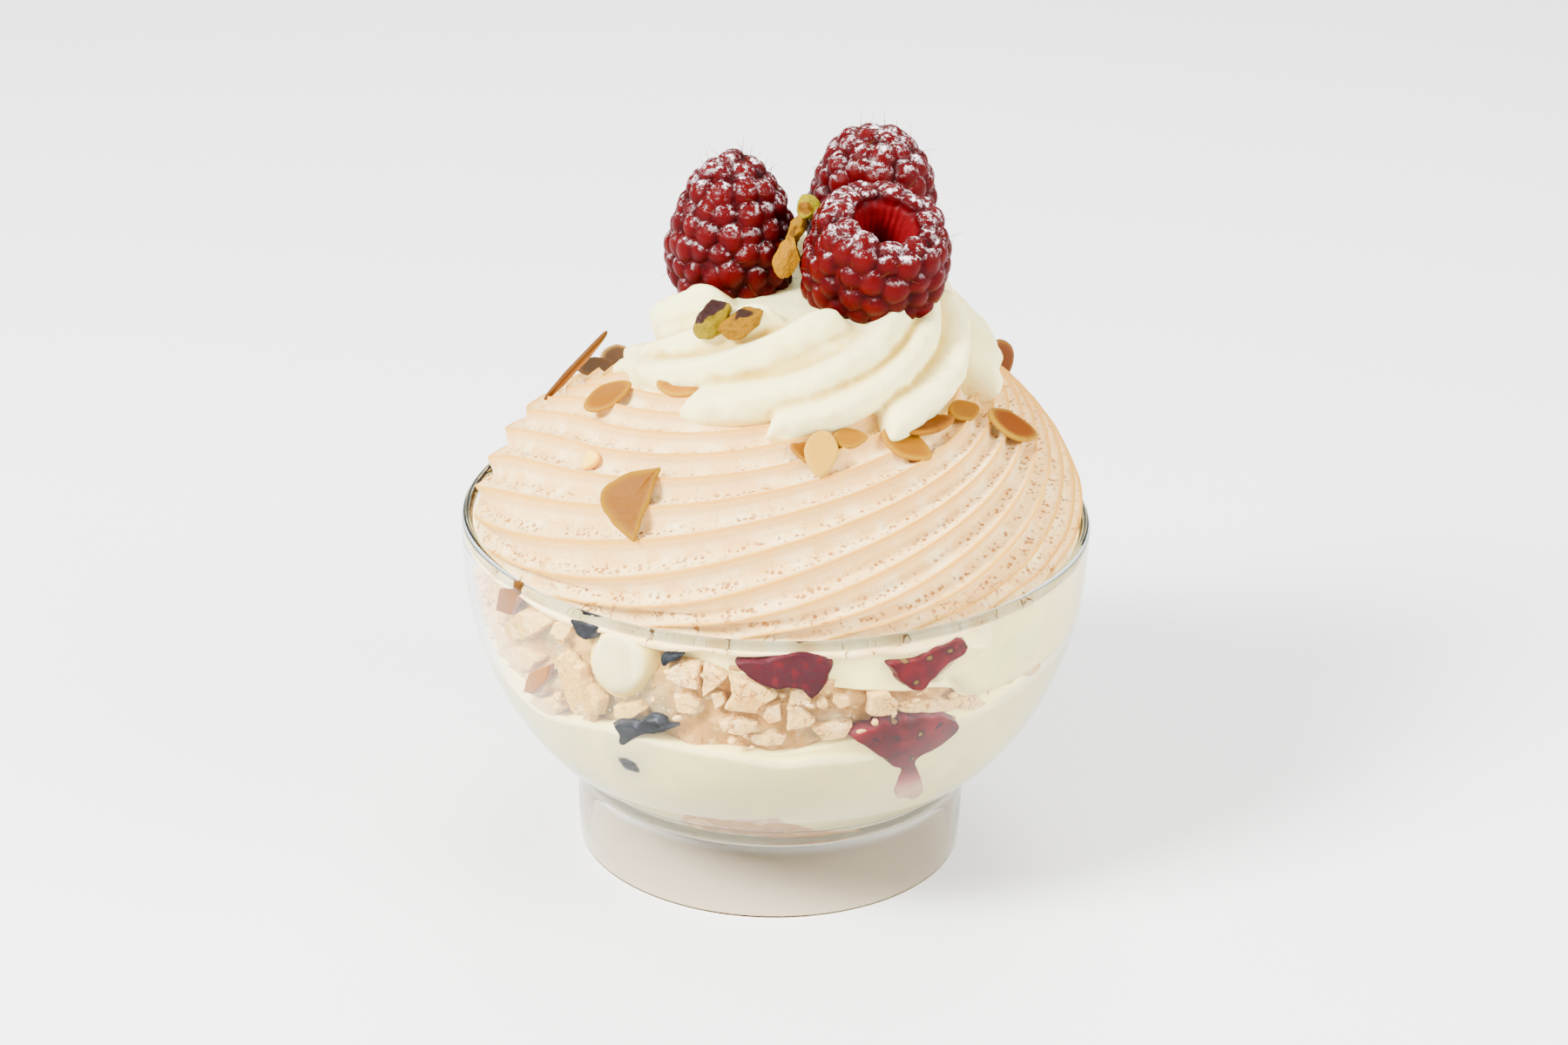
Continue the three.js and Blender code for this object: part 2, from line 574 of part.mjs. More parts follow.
function ribSolid(index) {
  const nose = ROSETTE.firstNose - index * 360 / ROSETTE.ribs;
  const middle = (s, grown = 1) => {
    const { at, out } = ribCrest(nose, s);
    return at.addScaledVector(out, -RIB_REACH * grown);
  };
  const rings = [];
  for (let k = 0; k <= RIB_STEPS; k++) {
    const s = k / RIB_STEPS;
    const { out } = ribCrest(nose, s);
    const along = middle(s + 0.01).sub(middle(s - 0.01)).normalize();
    const up = new THREE.Vector3().crossVectors(along, out).normalize();
    const share = clamp01((s + 0.03) / 0.18);
    const grown = Math.sqrt(share * (2 - share));
    const reach = RIB_REACH * grown;
    const half = RIB_HALF_THICKNESS * grown * (1 - 0.15 * s);
    rings.push(Array.from({ length: RIB_SIDES }, (_, i) => {
      const a = i * 2 * Math.PI / RIB_SIDES;
      const at = middle(s, grown);
      return at.addScaledVector(out, reach * Math.cos(a)).addScaledVector(up, half * Math.sin(a));
    }));
  }
  return toSolid(ringStack(rings, middle(-0.02, 0.4), middle(1.02)));
}

function rosetteMound() {
  const centre = new THREE.Vector3(ROSETTE.x, ROSETTE.y, 0);
  const rings = [[23, 78], [26, 92], [23, 99], [13, 102.4]].map(([r, z]) =>
    Array.from({ length: 16 }, (_, i) => polar(r, i * 22.5, z).add(centre)));
  return toSolid(ringStack(rings, centre.clone().setZ(78), centre.clone().setZ(103)));
}

// Chopped pistachio: [x, y, z, length, width, turn about Z, lean from upright].
const NUTS = [
  [-11.2, -19.5, 101.6, 6.4, 4.6, 20, 70],
  [-5.6, -20.5, 101.8, 6.8, 4.4, -30, 76],
  [1.0, -7.6, 107, 11, 4.6, 20, 16],
  [3.0, -3.2, 114.6, 8.4, 5, -10, 8],
];

function nutSolids() {
  const random = seededRandom(7);
  return NUTS.map(([x, y, z, length, width, turn, lean]) => {
    const lump = roundBody(length, (u) => ballRadius(u) * width / 2 * (0.85 + 0.3 * random()), 7, 5);
    lump.rotateY(lean * DEG);
    lump.rotateZ(turn * DEG);
    return toSolid(lump.translate(x, y, z));
  });
}

// ---------------------------------------------------------------- raspberries

const DRUPELETS_ROUND = 10;
const DRUPELET_ROWS = 6;
const DRUPELET_RELIEF = 0.05;

const BLUNT = { shoulder: 0.34, power: 2.3, root: 2 };
const CONICAL = { shoulder: 0.28, power: 2, root: 1.6 };

/** Half width of a raspberry at a share u of its height, 0 at the stalk end. */
function raspberryRadius({ shoulder, power, root }, u) {
  if (u < shoulder) return 0.82 + 0.18 * Math.sin(Math.PI / 2 * u / shoulder);
  return (1 - clamp01((u - shoulder) / (1.01 - shoulder)) ** power) ** (1 / root);
}

/** A raspberry about +Z, stalk end at 0. With a hollow, the stalk end is open. */
function raspberryGeometry({ radius, height, form = BLUNT, hollow }) {
  const columns = DRUPELETS_ROUND * 2;
  const rings = [];
  if (hollow) {
    for (const [share, depth] of [[0.2, 0.56], [0.3, 0.3], [0.38, 0.06]]) {
      rings.push(Array.from({ length: columns }, (_, i) =>
        polar(radius * share, i * 360 / columns, height * depth)));
    }
  }
  rings.push(Array.from({ length: columns }, (_, i) => polar(radius * 0.62, i * 360 / columns, -0.4)));
  for (let j = 1; j < DRUPELET_ROWS * 2; j++) {
    const u = j / (DRUPELET_ROWS * 2);
    const row = Math.floor(j / 2);
    rings.push(Array.from({ length: columns }, (_, i) => {
      const onCentre = j % 2 === 1 ? ((i + row) % 2 === 0 ? 1 : -0.35) : -0.65;
      const r = radius * raspberryRadius(form, u) * (1 + DRUPELET_RELIEF * onCentre);
      return polar(r, i * 360 / columns, height * u);
    }));
  }
  const start = new THREE.Vector3(0, 0, hollow ? height * 0.62 : 0.2);
  return ringStack(rings, start, new THREE.Vector3(0, 0, height));
}

/** Plain round cutter a gap larger than the raspberry. */
function raspberryCutter({ radius, height, form = BLUNT }) {
  const sides = 12;
  const rings = [0, 0.25, 0.5, 0.7, 0.85, 0.95].map((u) => {
    const r = radius * (1 + DRUPELET_RELIEF) * raspberryRadius(form, u) + 2 * GAP;
    const z = u === 0 ? -1.6 * GAP : u * height;
    return Array.from({ length: sides }, (_, i) => polar(r, i * 360 / sides, z));
  });
  const tip = new THREE.Vector3(0, 0, height + 1.6 * GAP);
  return ringStack(rings, new THREE.Vector3(0, 0, -1.6 * GAP), tip);
}

// at is the stalk end's centre, axis points from there to the tip.
const RASPBERRIES = {
  raspberry_left: { at: [-8.5, 0.5, 100.6], axis: [0, 0.04, 1], radius: 10.8, height: 25, form: CONICAL },
  raspberry_back: { at: [14.4, 13.4, 102.4], axis: [0.06, -0.1, 1], radius: 10.2, height: 24.2 },
  raspberry_front: { at: [16.9, -12.2, 118.6], axis: [-0.16, 0.34, -0.93], radius: 11.4, height: 23, hollow: true },
};

function raspberryFrame({ at, axis }) {
  const direction = new THREE.Vector3(...axis).normalize();
  const turn = new THREE.Quaternion().setFromUnitVectors(new THREE.Vector3(0, 0, 1), direction);
  return new THREE.Matrix4().compose(new THREE.Vector3(...at), turn, new THREE.Vector3(1, 1, 1));
}

// ---------------------------------------------------------------- assembly

const COLOURS = {
  bowl: '#dfe3e6',
  base_crumb: '#e3c9ab',
  custard_layer: '#e9e4cf',
  meringue_rubble: '#ecd8bf',
  upper_cream: '#f1eddc',
  cream_dollop: '#f3efdf',
  strawberry: '#a3262c',
  blueberry: '#2e3a48',
  meringue_dome: '#f0dcc4',
  cream_rosette: '#f6f1dc',
  raspberry: '#b01c2c',
};

const pavlova = new THREE.Group();
pavlova.name = 'pavlova';

function addNode(name, geometry, colour, roughness) {
  const bare = geometry.clone();
  bare.computeVertexNormals();
  const material = new THREE.MeshStandardMaterial({ color: colour, roughness, metalness: 0 });
  const mesh = new THREE.Mesh(bare, material);
  mesh.name = name;
  pavlova.add(mesh);
}

function addWallPieces(prefix, pieces, colour, cutters = []) {
  pieces.forEach((piece, i) => {
    const solid = cutBy(fruitPiece(piece, 0).intersect(interior), cutters);
    addNode(`${prefix}_${i + 1}`, toGeometry(mainLump(solid)), colour, 0.4);
  });
}

/** Everything inside the wall, less the gap, from the floor to just under the lip. */
const interior = toSolid(layerGeometry({ low: flat(FILL_FLOOR_Z), high: flat(INTERIOR_TOP_Z), wallRows: 10 }));
const cuttersOf = (pieces) => pieces.map((piece) => fruitPiece(piece, GAP));
const fruitCutters = [...cuttersOf(STRAWBERRIES), ...cuttersOf(BLUEBERRIES)];
const dollopCutters = cuttersOf(DOLLOPS);
const wallCutters = [...fruitCutters, ...dollopCutters];

addNode('bowl', bowlGeometry(), COLOURS.bowl, 0.05);
addNode('base_crumb', toGeometry(baseCrumb()), COLOURS.base_crumb, 0.9);
addNode('custard_layer', toGeometry(mainLump(cutBy(custard(), wallCutters))), COLOURS.custard_layer, 0.5);
addNode('meringue_rubble', toGeometry(mainLump(cutBy(meringueRubble(), wallCutters))), COLOURS.meringue_rubble, 0.9);
addNode('upper_cream', toGeometry(mainLump(cutBy(upperCream(), wallCutters))), COLOURS.upper_cream, 0.5);
addWallPieces('strawberry', STRAWBERRIES, COLOURS.strawberry);
addWallPieces('blueberry', BLUEBERRIES, COLOURS.blueberry, dollopCutters);
addWallPieces('cream_dollop', DOLLOPS, COLOURS.cream_dollop);

const dome = mainLump(cutBy(domeBody(), wallCutters));
addNode('meringue_dome', toGeometry(union([dome, ...flakeSolids()])), COLOURS.meringue_dome, 0.85);

const raspberryCutters = Object.values(RASPBERRIES).map((berry) =>
  toSolid(raspberryCutter(berry).applyMatrix4(raspberryFrame(berry))));
const ribs = Array.from({ length: ROSETTE.ribs }, (_, i) => ribSolid(i));
const creamAndNuts = union([rosetteMound(), ...ribs, ...nutSolids()]);
const raisedDome = dome.translate([0, 0, GAP]);
const rosette = cutBy(creamAndNuts, [domeCover(), raisedDome, ...flakeSolids(GAP), ...raspberryCutters]);
addNode('cream_rosette', toGeometry(mainLump(rosette)), COLOURS.cream_rosette, 0.5);

for (const [name, berry] of Object.entries(RASPBERRIES)) {
  addNode(name, raspberryGeometry(berry).applyMatrix4(raspberryFrame(berry)), COLOURS.raspberry, 0.45);
}

export default pavlova;
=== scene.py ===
"""Looks of the individual pavlova in its clear footed bowl.

Shapes are worked out in millimetres, +Z up, with the origin at the centre of the foot's
underside, and turned into metres when a mesh is made. Azimuths are in degrees,
counter-clockwise from +X seen from above; -90 is the front.
"""
import itertools
import math

import bmesh
import bpy
import numpy as np
from mathutils import Matrix, Vector
from mathutils.bvhtree import BVHTree


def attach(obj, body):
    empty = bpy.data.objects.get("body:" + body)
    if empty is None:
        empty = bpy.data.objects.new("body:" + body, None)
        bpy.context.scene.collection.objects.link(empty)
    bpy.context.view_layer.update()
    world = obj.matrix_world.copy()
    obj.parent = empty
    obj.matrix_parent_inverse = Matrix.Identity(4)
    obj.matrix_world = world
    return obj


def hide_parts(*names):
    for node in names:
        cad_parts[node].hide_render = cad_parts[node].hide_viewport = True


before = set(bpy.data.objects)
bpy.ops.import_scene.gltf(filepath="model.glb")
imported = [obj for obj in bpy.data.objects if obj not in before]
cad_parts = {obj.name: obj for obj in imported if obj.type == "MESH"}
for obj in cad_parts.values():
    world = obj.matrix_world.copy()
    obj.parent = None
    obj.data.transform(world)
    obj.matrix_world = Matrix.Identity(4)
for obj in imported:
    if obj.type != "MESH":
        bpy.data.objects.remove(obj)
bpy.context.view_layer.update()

# ---- dimensions

MM = 0.001
RIM_RADIUS = 54.0
RIM_Z = 60.8
LIP = 1.0
JOIN_RADIUS = 33.4
JOIN_Z = 16.7
CUP_POWER = 2.28
CUP_ROUNDNESS = 1.43
WALL = 1.3
FLOOR_UNDERSIDE_Z = 14.3
FLOOR_TOP_Z = 15.8
FOOT_RADIUS = 33.9
FOOT_TOP_RADIUS = 34.4
FOOT_WALL = 1.4
MM_PER_DEGREE = 0.87  # along the wall, where the fruit is pressed on it

DOME = {"x": 0.7, "y": -1.0, "radius": 52.8, "base": 58.4, "height": 39.35, "power": 2.07, "root": 1.91}
NECK_Z = 60.1
DOME_TOP_Z = 93.5
RIDGES = 17
RIDGE_SAMPLES = 24
ROW_SPACING = 0.42
LEFT_REACH = 110.0
ROSETTE = {"x": 5.0, "y": -2.5, "wrap": 112.0, "radius": 31.2, "top": 106.4}
ROSETTE_FOOT_Z = 89.8
RIB_NOSES = (-64, -100, -128, -172, -206, -240, -274, -308, -342, -376)
RIB_REACH = 8.6
RIB_STEPS = 64
RIB_COLUMNS = 56
CREAM_VOXEL = 0.45
FLAKE_THICKNESS = 1.15
FLAKE_COLUMNS = 56
BERRY_COLUMNS = 240

CAMERA_AT = (1.383, -543.156, 299.936)
CAMERA_PITCH = 23.93
CAMERA_ROLL = 1.359
LENS = 79.1
SENSOR = 36.0
PICTURE = (1800, 1200)

# ---- small tools


def smooth(t):
    t = np.clip(t, 0.0, 1.0)
    return t * t * (3.0 - 2.0 * t)


def mix(a, b, t):
    return a + (b - a) * t


def polar(radius, azimuth, z):
    """Points from cylinder coordinates, in an array whose last axis is x, y, z."""
    a = np.radians(azimuth)
    return np.stack(np.broadcast_arrays(radius * np.cos(a), radius * np.sin(a), z), axis=-1)


def azimuth_of(points):
    return np.degrees(np.arctan2(points[:, 1], points[:, 0]))


def unit(v):
    return v / np.maximum(np.linalg.norm(v, axis=-1, keepdims=True), 1e-9)


def travelled(r, z):
    """Distance along a line of points from its start."""
    return np.concatenate([[0], np.cumsum(np.hypot(np.diff(r), np.diff(z)))])


def level_around(pairs):
    """A level round the bowl that eases between (azimuth, value) pairs."""
    azimuths, values = np.array(pairs, float).T
    azimuths = np.concatenate([[azimuths[-1] - 360], azimuths, [azimuths[0] + 360]])
    values = np.concatenate([[values[-1]], values, [values[0]]])

    def level(azimuth):
        a = (np.asarray(azimuth, float) + 180) % 360 - 180
        i = np.clip(np.searchsorted(azimuths, a, side="right") - 1, 0, len(values) - 2)
        t = (a - azimuths[i]) / (azimuths[i + 1] - azimuths[i])
        return mix(values[i], values[i + 1], smooth(t))

    return level


def noise(points, size, seed=0):
    """Smooth lumps of one size, from -1 to 1."""
    p = np.asarray(points, float) / size + 500.0
    cell = np.floor(p).astype(np.int64)
    t = smooth(p - cell)
    total = np.zeros(p.shape[:-1])
    for corner in itertools.product((0, 1), repeat=3):
        c = cell + corner
        h = c[..., 0] * 73856093 ^ c[..., 1] * 19349663 ^ c[..., 2] * 83492791 ^ seed * 9176717
        h = (h & 0x7FFFFFFF) * 1103515245 + 12345
        h = (h ^ (h >> 15)) & 0xFFFF
        weight = np.prod(np.where(np.array(corner) == 1, t, 1.0 - t), axis=-1)
        total += weight * (h / 32767.5 - 1.0)
    return total


def rough(points, size, seed=0, octaves=3):
    """Lumps with finer lumps on them."""
    return sum(noise(points, size / 2 ** k, seed + k) / 2 ** k for k in range(octaves)) / 1.6


# ---- meshes


def new_mesh(name, points, faces):
    """A mesh from points in mm."""
    mesh = bpy.data.meshes.new(name)
    mesh.from_pydata((np.asarray(points, float) * MM).tolist(), [], [list(f) for f in faces])
    return mesh


def new_object(name, data):
    thing = bpy.data.objects.new(name, data)
    bpy.context.scene.collection.objects.link(thing)
    return thing


def closed_stack(rings, start_pole, end_pole):
    """Points and faces of a closed body from an array of rings and its two poles.

    The rings run counter-clockwise about the stacking direction.
    """
    rows, columns = rings.shape[:2]
    points = np.concatenate([rings.reshape(-1, 3), [start_pole], [end_pole]])
    around = np.arange(columns)
    after = (around + 1) % columns
    first = np.arange(rows - 1)[:, None] * columns
    corners = [first + around, first + after]
    corners += [corners[1] + columns, corners[0] + columns]
    sides = np.stack(corners, axis=-1)
    low = rows * columns
    last = low - columns
    start = np.stack([np.full(columns, low), after, around], axis=-1)
    end = np.stack([np.full(columns, low + 1), last + around, last + after], axis=-1)
    return points, sides.reshape(-1, 4).tolist() + start.tolist() + end.tolist()


def chopped(subdivisions, normals, heights, reach):
    """A ball's points, the same points cut back by planes at the heights, and the faces."""
    bm = bmesh.new()
    bmesh.ops.create_icosphere(bm, subdivisions=subdivisions, radius=1.0)
    ball = np.array([v.co[:] for v in bm.verts])
    faces = [[v.index for v in f.verts] for f in bm.faces]
    bm.free()
    facing = ball @ unit(normals).T
    cut = np.where(facing > 0.05, heights / np.maximum(facing, 0.05), 9.0).min(axis=1)
    return ball, ball * np.minimum(cut, reach)[:, None], faces


class Bodies:
    """Gathers closed bodies, each its points and faces, with their facts into one piece."""

    def __init__(self):
        self.points = []
        self.faces = []
        self.facts = {}

    def add(self, body, **facts):
        """A fact is a number or colour, one for each point, or a function of the points."""
        points, faces = body
        start = sum(map(len, self.points))
        self.points.append(points)
        self.faces += [[v + start for v in f] for f in faces]
        for key, value in facts.items():
            value = np.asarray(value(points) if callable(value) else value, float)
            if value.ndim == 0 or value.shape == (3,):
                value = np.broadcast_to(value, (len(points),) + value.shape)
            self.facts.setdefault(key, []).append(value)
        return self

    def piece(self, name, material, nodes, slot):
        mesh = new_mesh(name, np.concatenate(self.points), self.faces)
        mesh.validate()
        mesh.polygons.foreach_set("use_smooth", [True] * len(mesh.polygons))
        for key, values in self.facts.items():
            values = np.concatenate(values)
            kind, entry = ("FLOAT", "value") if values.ndim == 1 else ("FLOAT_COLOR", "color")
            if values.ndim == 2:
                values = np.column_stack([values, np.ones(len(values))])
            mesh.attributes.new(key, kind, "POINT").data.foreach_set(entry, values.ravel())
        mesh.materials.append(material)
        piece = new_object(name, mesh)
        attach(piece, "root")
        if nodes:
            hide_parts(*nodes)


# ---- materials


def rgb(code):
    """Linear colour from a hex code."""
    parts = [int(code[i:i + 2], 16) / 255 for i in (1, 3, 5)]
    return tuple(v / 12.92 if v <= 0.04045 else ((v + 0.055) / 1.055) ** 2.4 for v in parts)


class Nodes:
    """Builds one node material, in millimetres of the object's own space."""

    def __init__(self, name):
        self.material = bpy.data.materials.new(name)
        self.material.use_nodes = True
        self.tree = self.material.node_tree
        self.tree.nodes.clear()
        self.place = self.scaled(self.new("TexCoord").outputs["Object"], 1 / MM)

    def new(self, kind, inputs=None, **settings):
        """A node with its settings, and the values or outputs put into its inputs."""
        node = self.tree.nodes.new("ShaderNode" + kind)
        for key, value in settings.items():
            setattr(node, key, value)
        for key, value in (inputs or {}).items():
            self.put(value, node.inputs[key])
        return node

    def put(self, value, socket):
        if isinstance(value, bpy.types.NodeSocket):
            self.tree.links.new(value, socket)
        elif value is not None:
            socket.default_value = (*rgb(value), 1.0) if isinstance(value, str) else value

    def scaled(self, vector, scale):
        return self.new("VectorMath", {0: vector, "Scale": scale}, operation="SCALE").outputs[0]

    def maths(self, operation, a, b):
        return self.new("Math", {0: a, 1: b}, operation=operation).outputs[0]

    def times(self, value, *factors):
        for factor in factors:
            value = self.maths("MULTIPLY", value, factor)
        return value

    def spread(self, value, width, low):
        """A share from 0 to 1 turned into a range of the given width above low."""
        return self.maths("ADD", self.times(value, width), low)

    def fact(self, name, output="Fac"):
        return self.new("Attribute", attribute_name=name).outputs[output]

    def noise(self, size, detail=3.0, gain=0.55, output="Fac"):
        inputs = {"Vector": self.place, "Scale": 1.0 / size, "Detail": detail, "Roughness": gain}
        return self.new("TexNoise", inputs).outputs[output]

    def patches(self, size, low, high, detail=3.0, gain=0.55):
        return self.step(self.noise(size, detail, gain), low, high)

    def marks(self, size, low, high, feature="F1", warp=0.0):
        """Dots, or cracks where the feature is the distance to a cell's edge."""
        place = self.place
        if warp:
            sway = self.scaled(self.noise(size / 1.6, 2.0, 0.5, "Color"), warp)
            place = self.new("VectorMath", {0: place, 1: sway}, operation="ADD").outputs[0]
        cells = self.new("TexVoronoi", {"Vector": place, "Scale": 1.0 / size}, feature=feature)
        return self.step(cells.outputs["Distance"], low, high)

    def step(self, value, low, high):
        """0 below low and 1 above high, or the reverse where low is the larger."""
        inputs = {"Value": value, "From Min": min(low, high), "From Max": max(low, high),
                  "To Min": float(low > high), "To Max": float(low <= high)}
        return self.new("MapRange", inputs, interpolation_type="SMOOTHSTEP").outputs["Result"]

    def ramp(self, value, stops):
        node = self.new("ValToRGB", {"Fac": value})
        elements = node.color_ramp.elements
        while len(elements) < len(stops):
            elements.new(0.5)
        for element, (at, colour) in zip(elements, stops):
            element.position = at
            element.color = (*rgb(colour), 1.0)
        return node.outputs["Color"]

    def blend(self, share, a, b, how="MIX"):
        return self.new("Mix", {0: share, 6: a, 7: b}, data_type="RGBA", blend_type=how).outputs[2]

    def layers(self, colour, *overs):
        """The colour with others over it in turn, each by the product of its shares."""
        for over, *shares in overs:
            colour = self.blend(self.times(*shares), colour, over)
        return colour

    def bump(self, height, depth, normal=None):
        inputs = {"Height": height, "Distance": depth * MM, "Strength": 1.0, "Normal": normal}
        return self.new("Bump", inputs).outputs["Normal"]

    def vertical(self, vector):
        return self.new("SeparateXYZ", {0: vector}).outputs["Z"]

    def finish(self, colour, roughness, normal=None, glow=0.0, reach=1.0, **fixed):
        """glow is the share of light that goes under the surface, reach its depth in mm."""
        inputs = {"Base Color": colour, "Roughness": roughness, "Normal": normal, "Specular IOR Level": 0.12,
                  "Subsurface Weight": glow, "Subsurface Scale": reach * MM}
        inputs.update((key.replace("_", " "), value) for key, value in fixed.items())
        self.shader = self.new("BsdfPrincipled", inputs)
        self.output = self.new("OutputMaterial", {"Surface": self.shader.outputs["BSDF"]})
        return self.material


def glass_material():
    """Clear plastic that lets the lamps' light through to the filling; grey-blue at its edges and lip as
    painted reflection, beige-grey at the foot as painted shadow.
    """
    n = Nodes("clear_plastic")
    haze = n.noise(9.0)
    height = n.vertical(n.place)
    side = n.new("LayerWeight", {"Blend": 0.35}).outputs["Facing"]
    colour = n.layers(
        n.ramp(haze, [(0.3, "#f8fafb"), (0.7, "#ffffff")]),
        # painted reflection: grey-blue where the surface turns away from view
        ("#b0bec6", n.step(side, 0.55, 0.97)),
        # painted reflection: grey-blue band on the rolled lip
        ("#94a0aa", n.step(height, 59.9, 60.5)),
        # painted shadow: beige-grey on the foot, for the shade under the filling
        ("#b2a590", n.step(height, 14.4, 12.0)),
    )
    n.finish(colour, n.spread(haze, 0.02, 0.01), n.bump(n.noise(14.0, 1.0), 0.02), IOR=1.49,
             Transmission_Weight=1.0, Specular_IOR_Level=0.5, Specular_Tint=(0.1, 0.1, 0.1, 1.0))
    through = {0: n.new("LightPath").outputs["Is Shadow Ray"], 1: n.shader.outputs["BSDF"],
               2: n.new("BsdfTransparent").outputs[0]}
    n.put(n.new("MixShader", through).outputs[0], n.output.inputs["Surface"])
    return n.material


def meringue_material():
    """Baked foam: golden lines on the crests, painted tan shade under them and deeper in the valleys, burst
    bubbles above the next crest.
    """
    n = Nodes("baked_meringue")
    valley = n.fact("valley")
    mottle = n.noise(5.0, 4.0)
    bed = n.layers(
        # painted shade: darker towards the bottom of each valley
        n.ramp(valley, [(0.0, "#fcd084"), (0.3, "#fcdc98"), (0.75, "#f6cc84"), (1.0, "#eabc70")]),
        ("#feebb4", n.step(mottle, 0.42, 0.7), 0.75),
        # painted shade: tan band just under each crest, where the surface turns down
        ("#cc9244", n.fact("under"), 0.6),
        ("#e8ae48", n.step(valley, 0.7, 0.1), 0.4),
        ("#dc9c2c", n.step(valley, 0.3, 0.02), 0.9),
    )
    pore = n.times(n.marks(0.95, 0.42, 0.28), n.patches(2.0, 0.4, 0.5, 2.0), n.fact("porous"))
    fine = n.times(n.marks(0.4, 0.26, 0.12), n.patches(1.7, 0.48, 0.62), n.step(valley, 0.2, 0.7), 0.5)
    cracks = n.marks(4.4, 0.03, 0.01, "DISTANCE_TO_EDGE", 6.0)
    crack = n.times(cracks, n.patches(3.0, 0.52, 0.6), n.fact("low"))
    holes = n.maths("MAXIMUM", n.maths("MAXIMUM", pore, crack), fine)
    colour = n.layers(bed, ("#a45f18", holes, 0.9))
    normal = n.bump(n.maths("SUBTRACT", 1.0, holes), 0.35, n.bump(n.noise(0.45), 0.12))
    return n.finish(colour, n.spread(mottle, 0.15, 0.72), normal, glow=0.1, reach=1.2)


def cream_material():
    """Whipped cream: darker and yellower in its folds as painted shade, with a few specks and yellow blots.
    """
    n = Nodes("whipped_cream")
    soft = n.noise(7.0, 2.0)
    colour = n.layers(
        "#faf0ac",
        # painted shade: darker yellow deep in the creases
        ("#cda63c", n.step(n.fact("fold"), 0.2, 0.85)),
        ("#cda63c", n.step(soft, 0.5, 0.75), 0.35),
        ("#ac8c00", n.marks(3.4, 0.12, 0.05), n.patches(9.0, 0.55, 0.62), 0.7),
        ("#e8c230", n.marks(9.0, 0.15, 0.06, warp=2.0), n.patches(5.0, 0.42, 0.55), 0.6),
    )
    normal = n.bump(n.noise(3.0), 0.3, n.bump(n.noise(0.8), 0.08))
    return n.finish(colour, n.spread(soft, 0.2, 0.38), normal, glow=0.35, reach=2.5)


def filling_material(name, pressed_colour, free, specks, edge=(0.1, 0.45)):
    """Custard or cream against the wall: greyer where it is pressed on it."""
    n = Nodes(name)
    broad = n.noise(11.0, 2.0)
    against = n.layers(pressed_colour, (n.layers(pressed_colour, (free, n.step(broad, 0.4, 0.7))), 0.35))
    colour = n.layers(
        against,
        (free, n.step(n.fact("recess"), *edge)),
        (specks, n.marks(2.8, 0.1, 0.04), n.patches(6.0, 0.5, 0.6), 0.6),
        ("#7f8a88", n.fact("wet"), 0.55),
    )
    return n.finish(colour, n.spread(broad, 0.2, 0.45), n.bump(n.noise(2.2), 0.12), glow=0.2, reach=2.0)


def crumb_material(name, face, inside, crumbs, floor=None):
    """Broken baked foam: pitted, cracked and toasted faces, with places wet with syrup, and painted shade
    where it stands back from the wall.
    """
    n = Nodes(name)
    wet = n.fact("wet")
    crack = n.marks(3.6, 0.05, 0.015, "DISTANCE_TO_EDGE", 4.0)
    colour = n.layers(
        face,
        # painted shade: the darker colour where the crumb stands back from the wall, between the slabs
        (inside, n.step(n.fact("recess"), 0.2, 0.95)),
        ("#f6d494", n.patches(3.2, 0.5, 0.68, 4.0), 0.8),
        ("#b87e3c", n.patches(0.8, 0.5, 0.62, 4.0, 0.75), 0.6),
        ("#9c5e1c", crack, n.patches(2.6, 0.46, 0.56), 0.8),
        ("#cf8f3c", n.patches(5.5, 0.56, 0.68), 0.55),
        ("#d8ae42", n.fact("toast"), 0.4),
        (crumbs, n.marks(1.1, 0.32, 0.15), n.patches(4.0, 0.52, 0.64), 0.6),
        ("#a3946a", wet, 0.7),
        ("#ffffff", n.marks(1.6, 0.16, 0.07), wet),
    )
    if floor:
        low = n.step(n.vertical(n.place), 17.6, 16.6)
        colour = n.layers(colour, (floor, low, n.maths("SUBTRACT", 1.0, n.fact("patch"))))
    normal = n.bump(n.noise(1.6, 4.0, 0.65), 0.5, n.bump(n.noise(0.4, 4.0, 0.75), 0.25))
    return n.finish(colour, n.maths("SUBTRACT", 0.85, n.times(wet, 0.6)), normal, glow=0.1, reach=1.2)


def almond_material():
    n = Nodes("toasted_almond")
    grain = n.noise(1.2, 4.0, 0.6)
    share = n.times(n.step(grain, 0.45, 0.75), 0.4)
    colour = n.blend(share, n.fact("tint", "Color"), "#fcfc44", "MULTIPLY")
    colour = n.layers(colour, ("#5e3611", n.patches(3.5, 0.56, 0.72), 0.35))
    return n.finish(colour, n.spread(grain, 0.25, 0.32), n.bump(n.noise(0.6), 0.06), glow=0.04, reach=0.8,
                    Specular_IOR_Level=0.05)


def pistachio_material():
    n = Nodes("pistachio")
    streak = n.noise(0.9, 4.0, 0.6)
    share = n.times(n.step(streak, 0.5, 0.7), 0.5)
    colour = n.blend(share, n.fact("tint", "Color"), "#8c8230", "MULTIPLY")
    return n.finish(colour, n.spread(streak, 0.3, 0.3), n.bump(streak, 0.5), glow=0.04, reach=0.6,
                    Specular_IOR_Level=0.05)


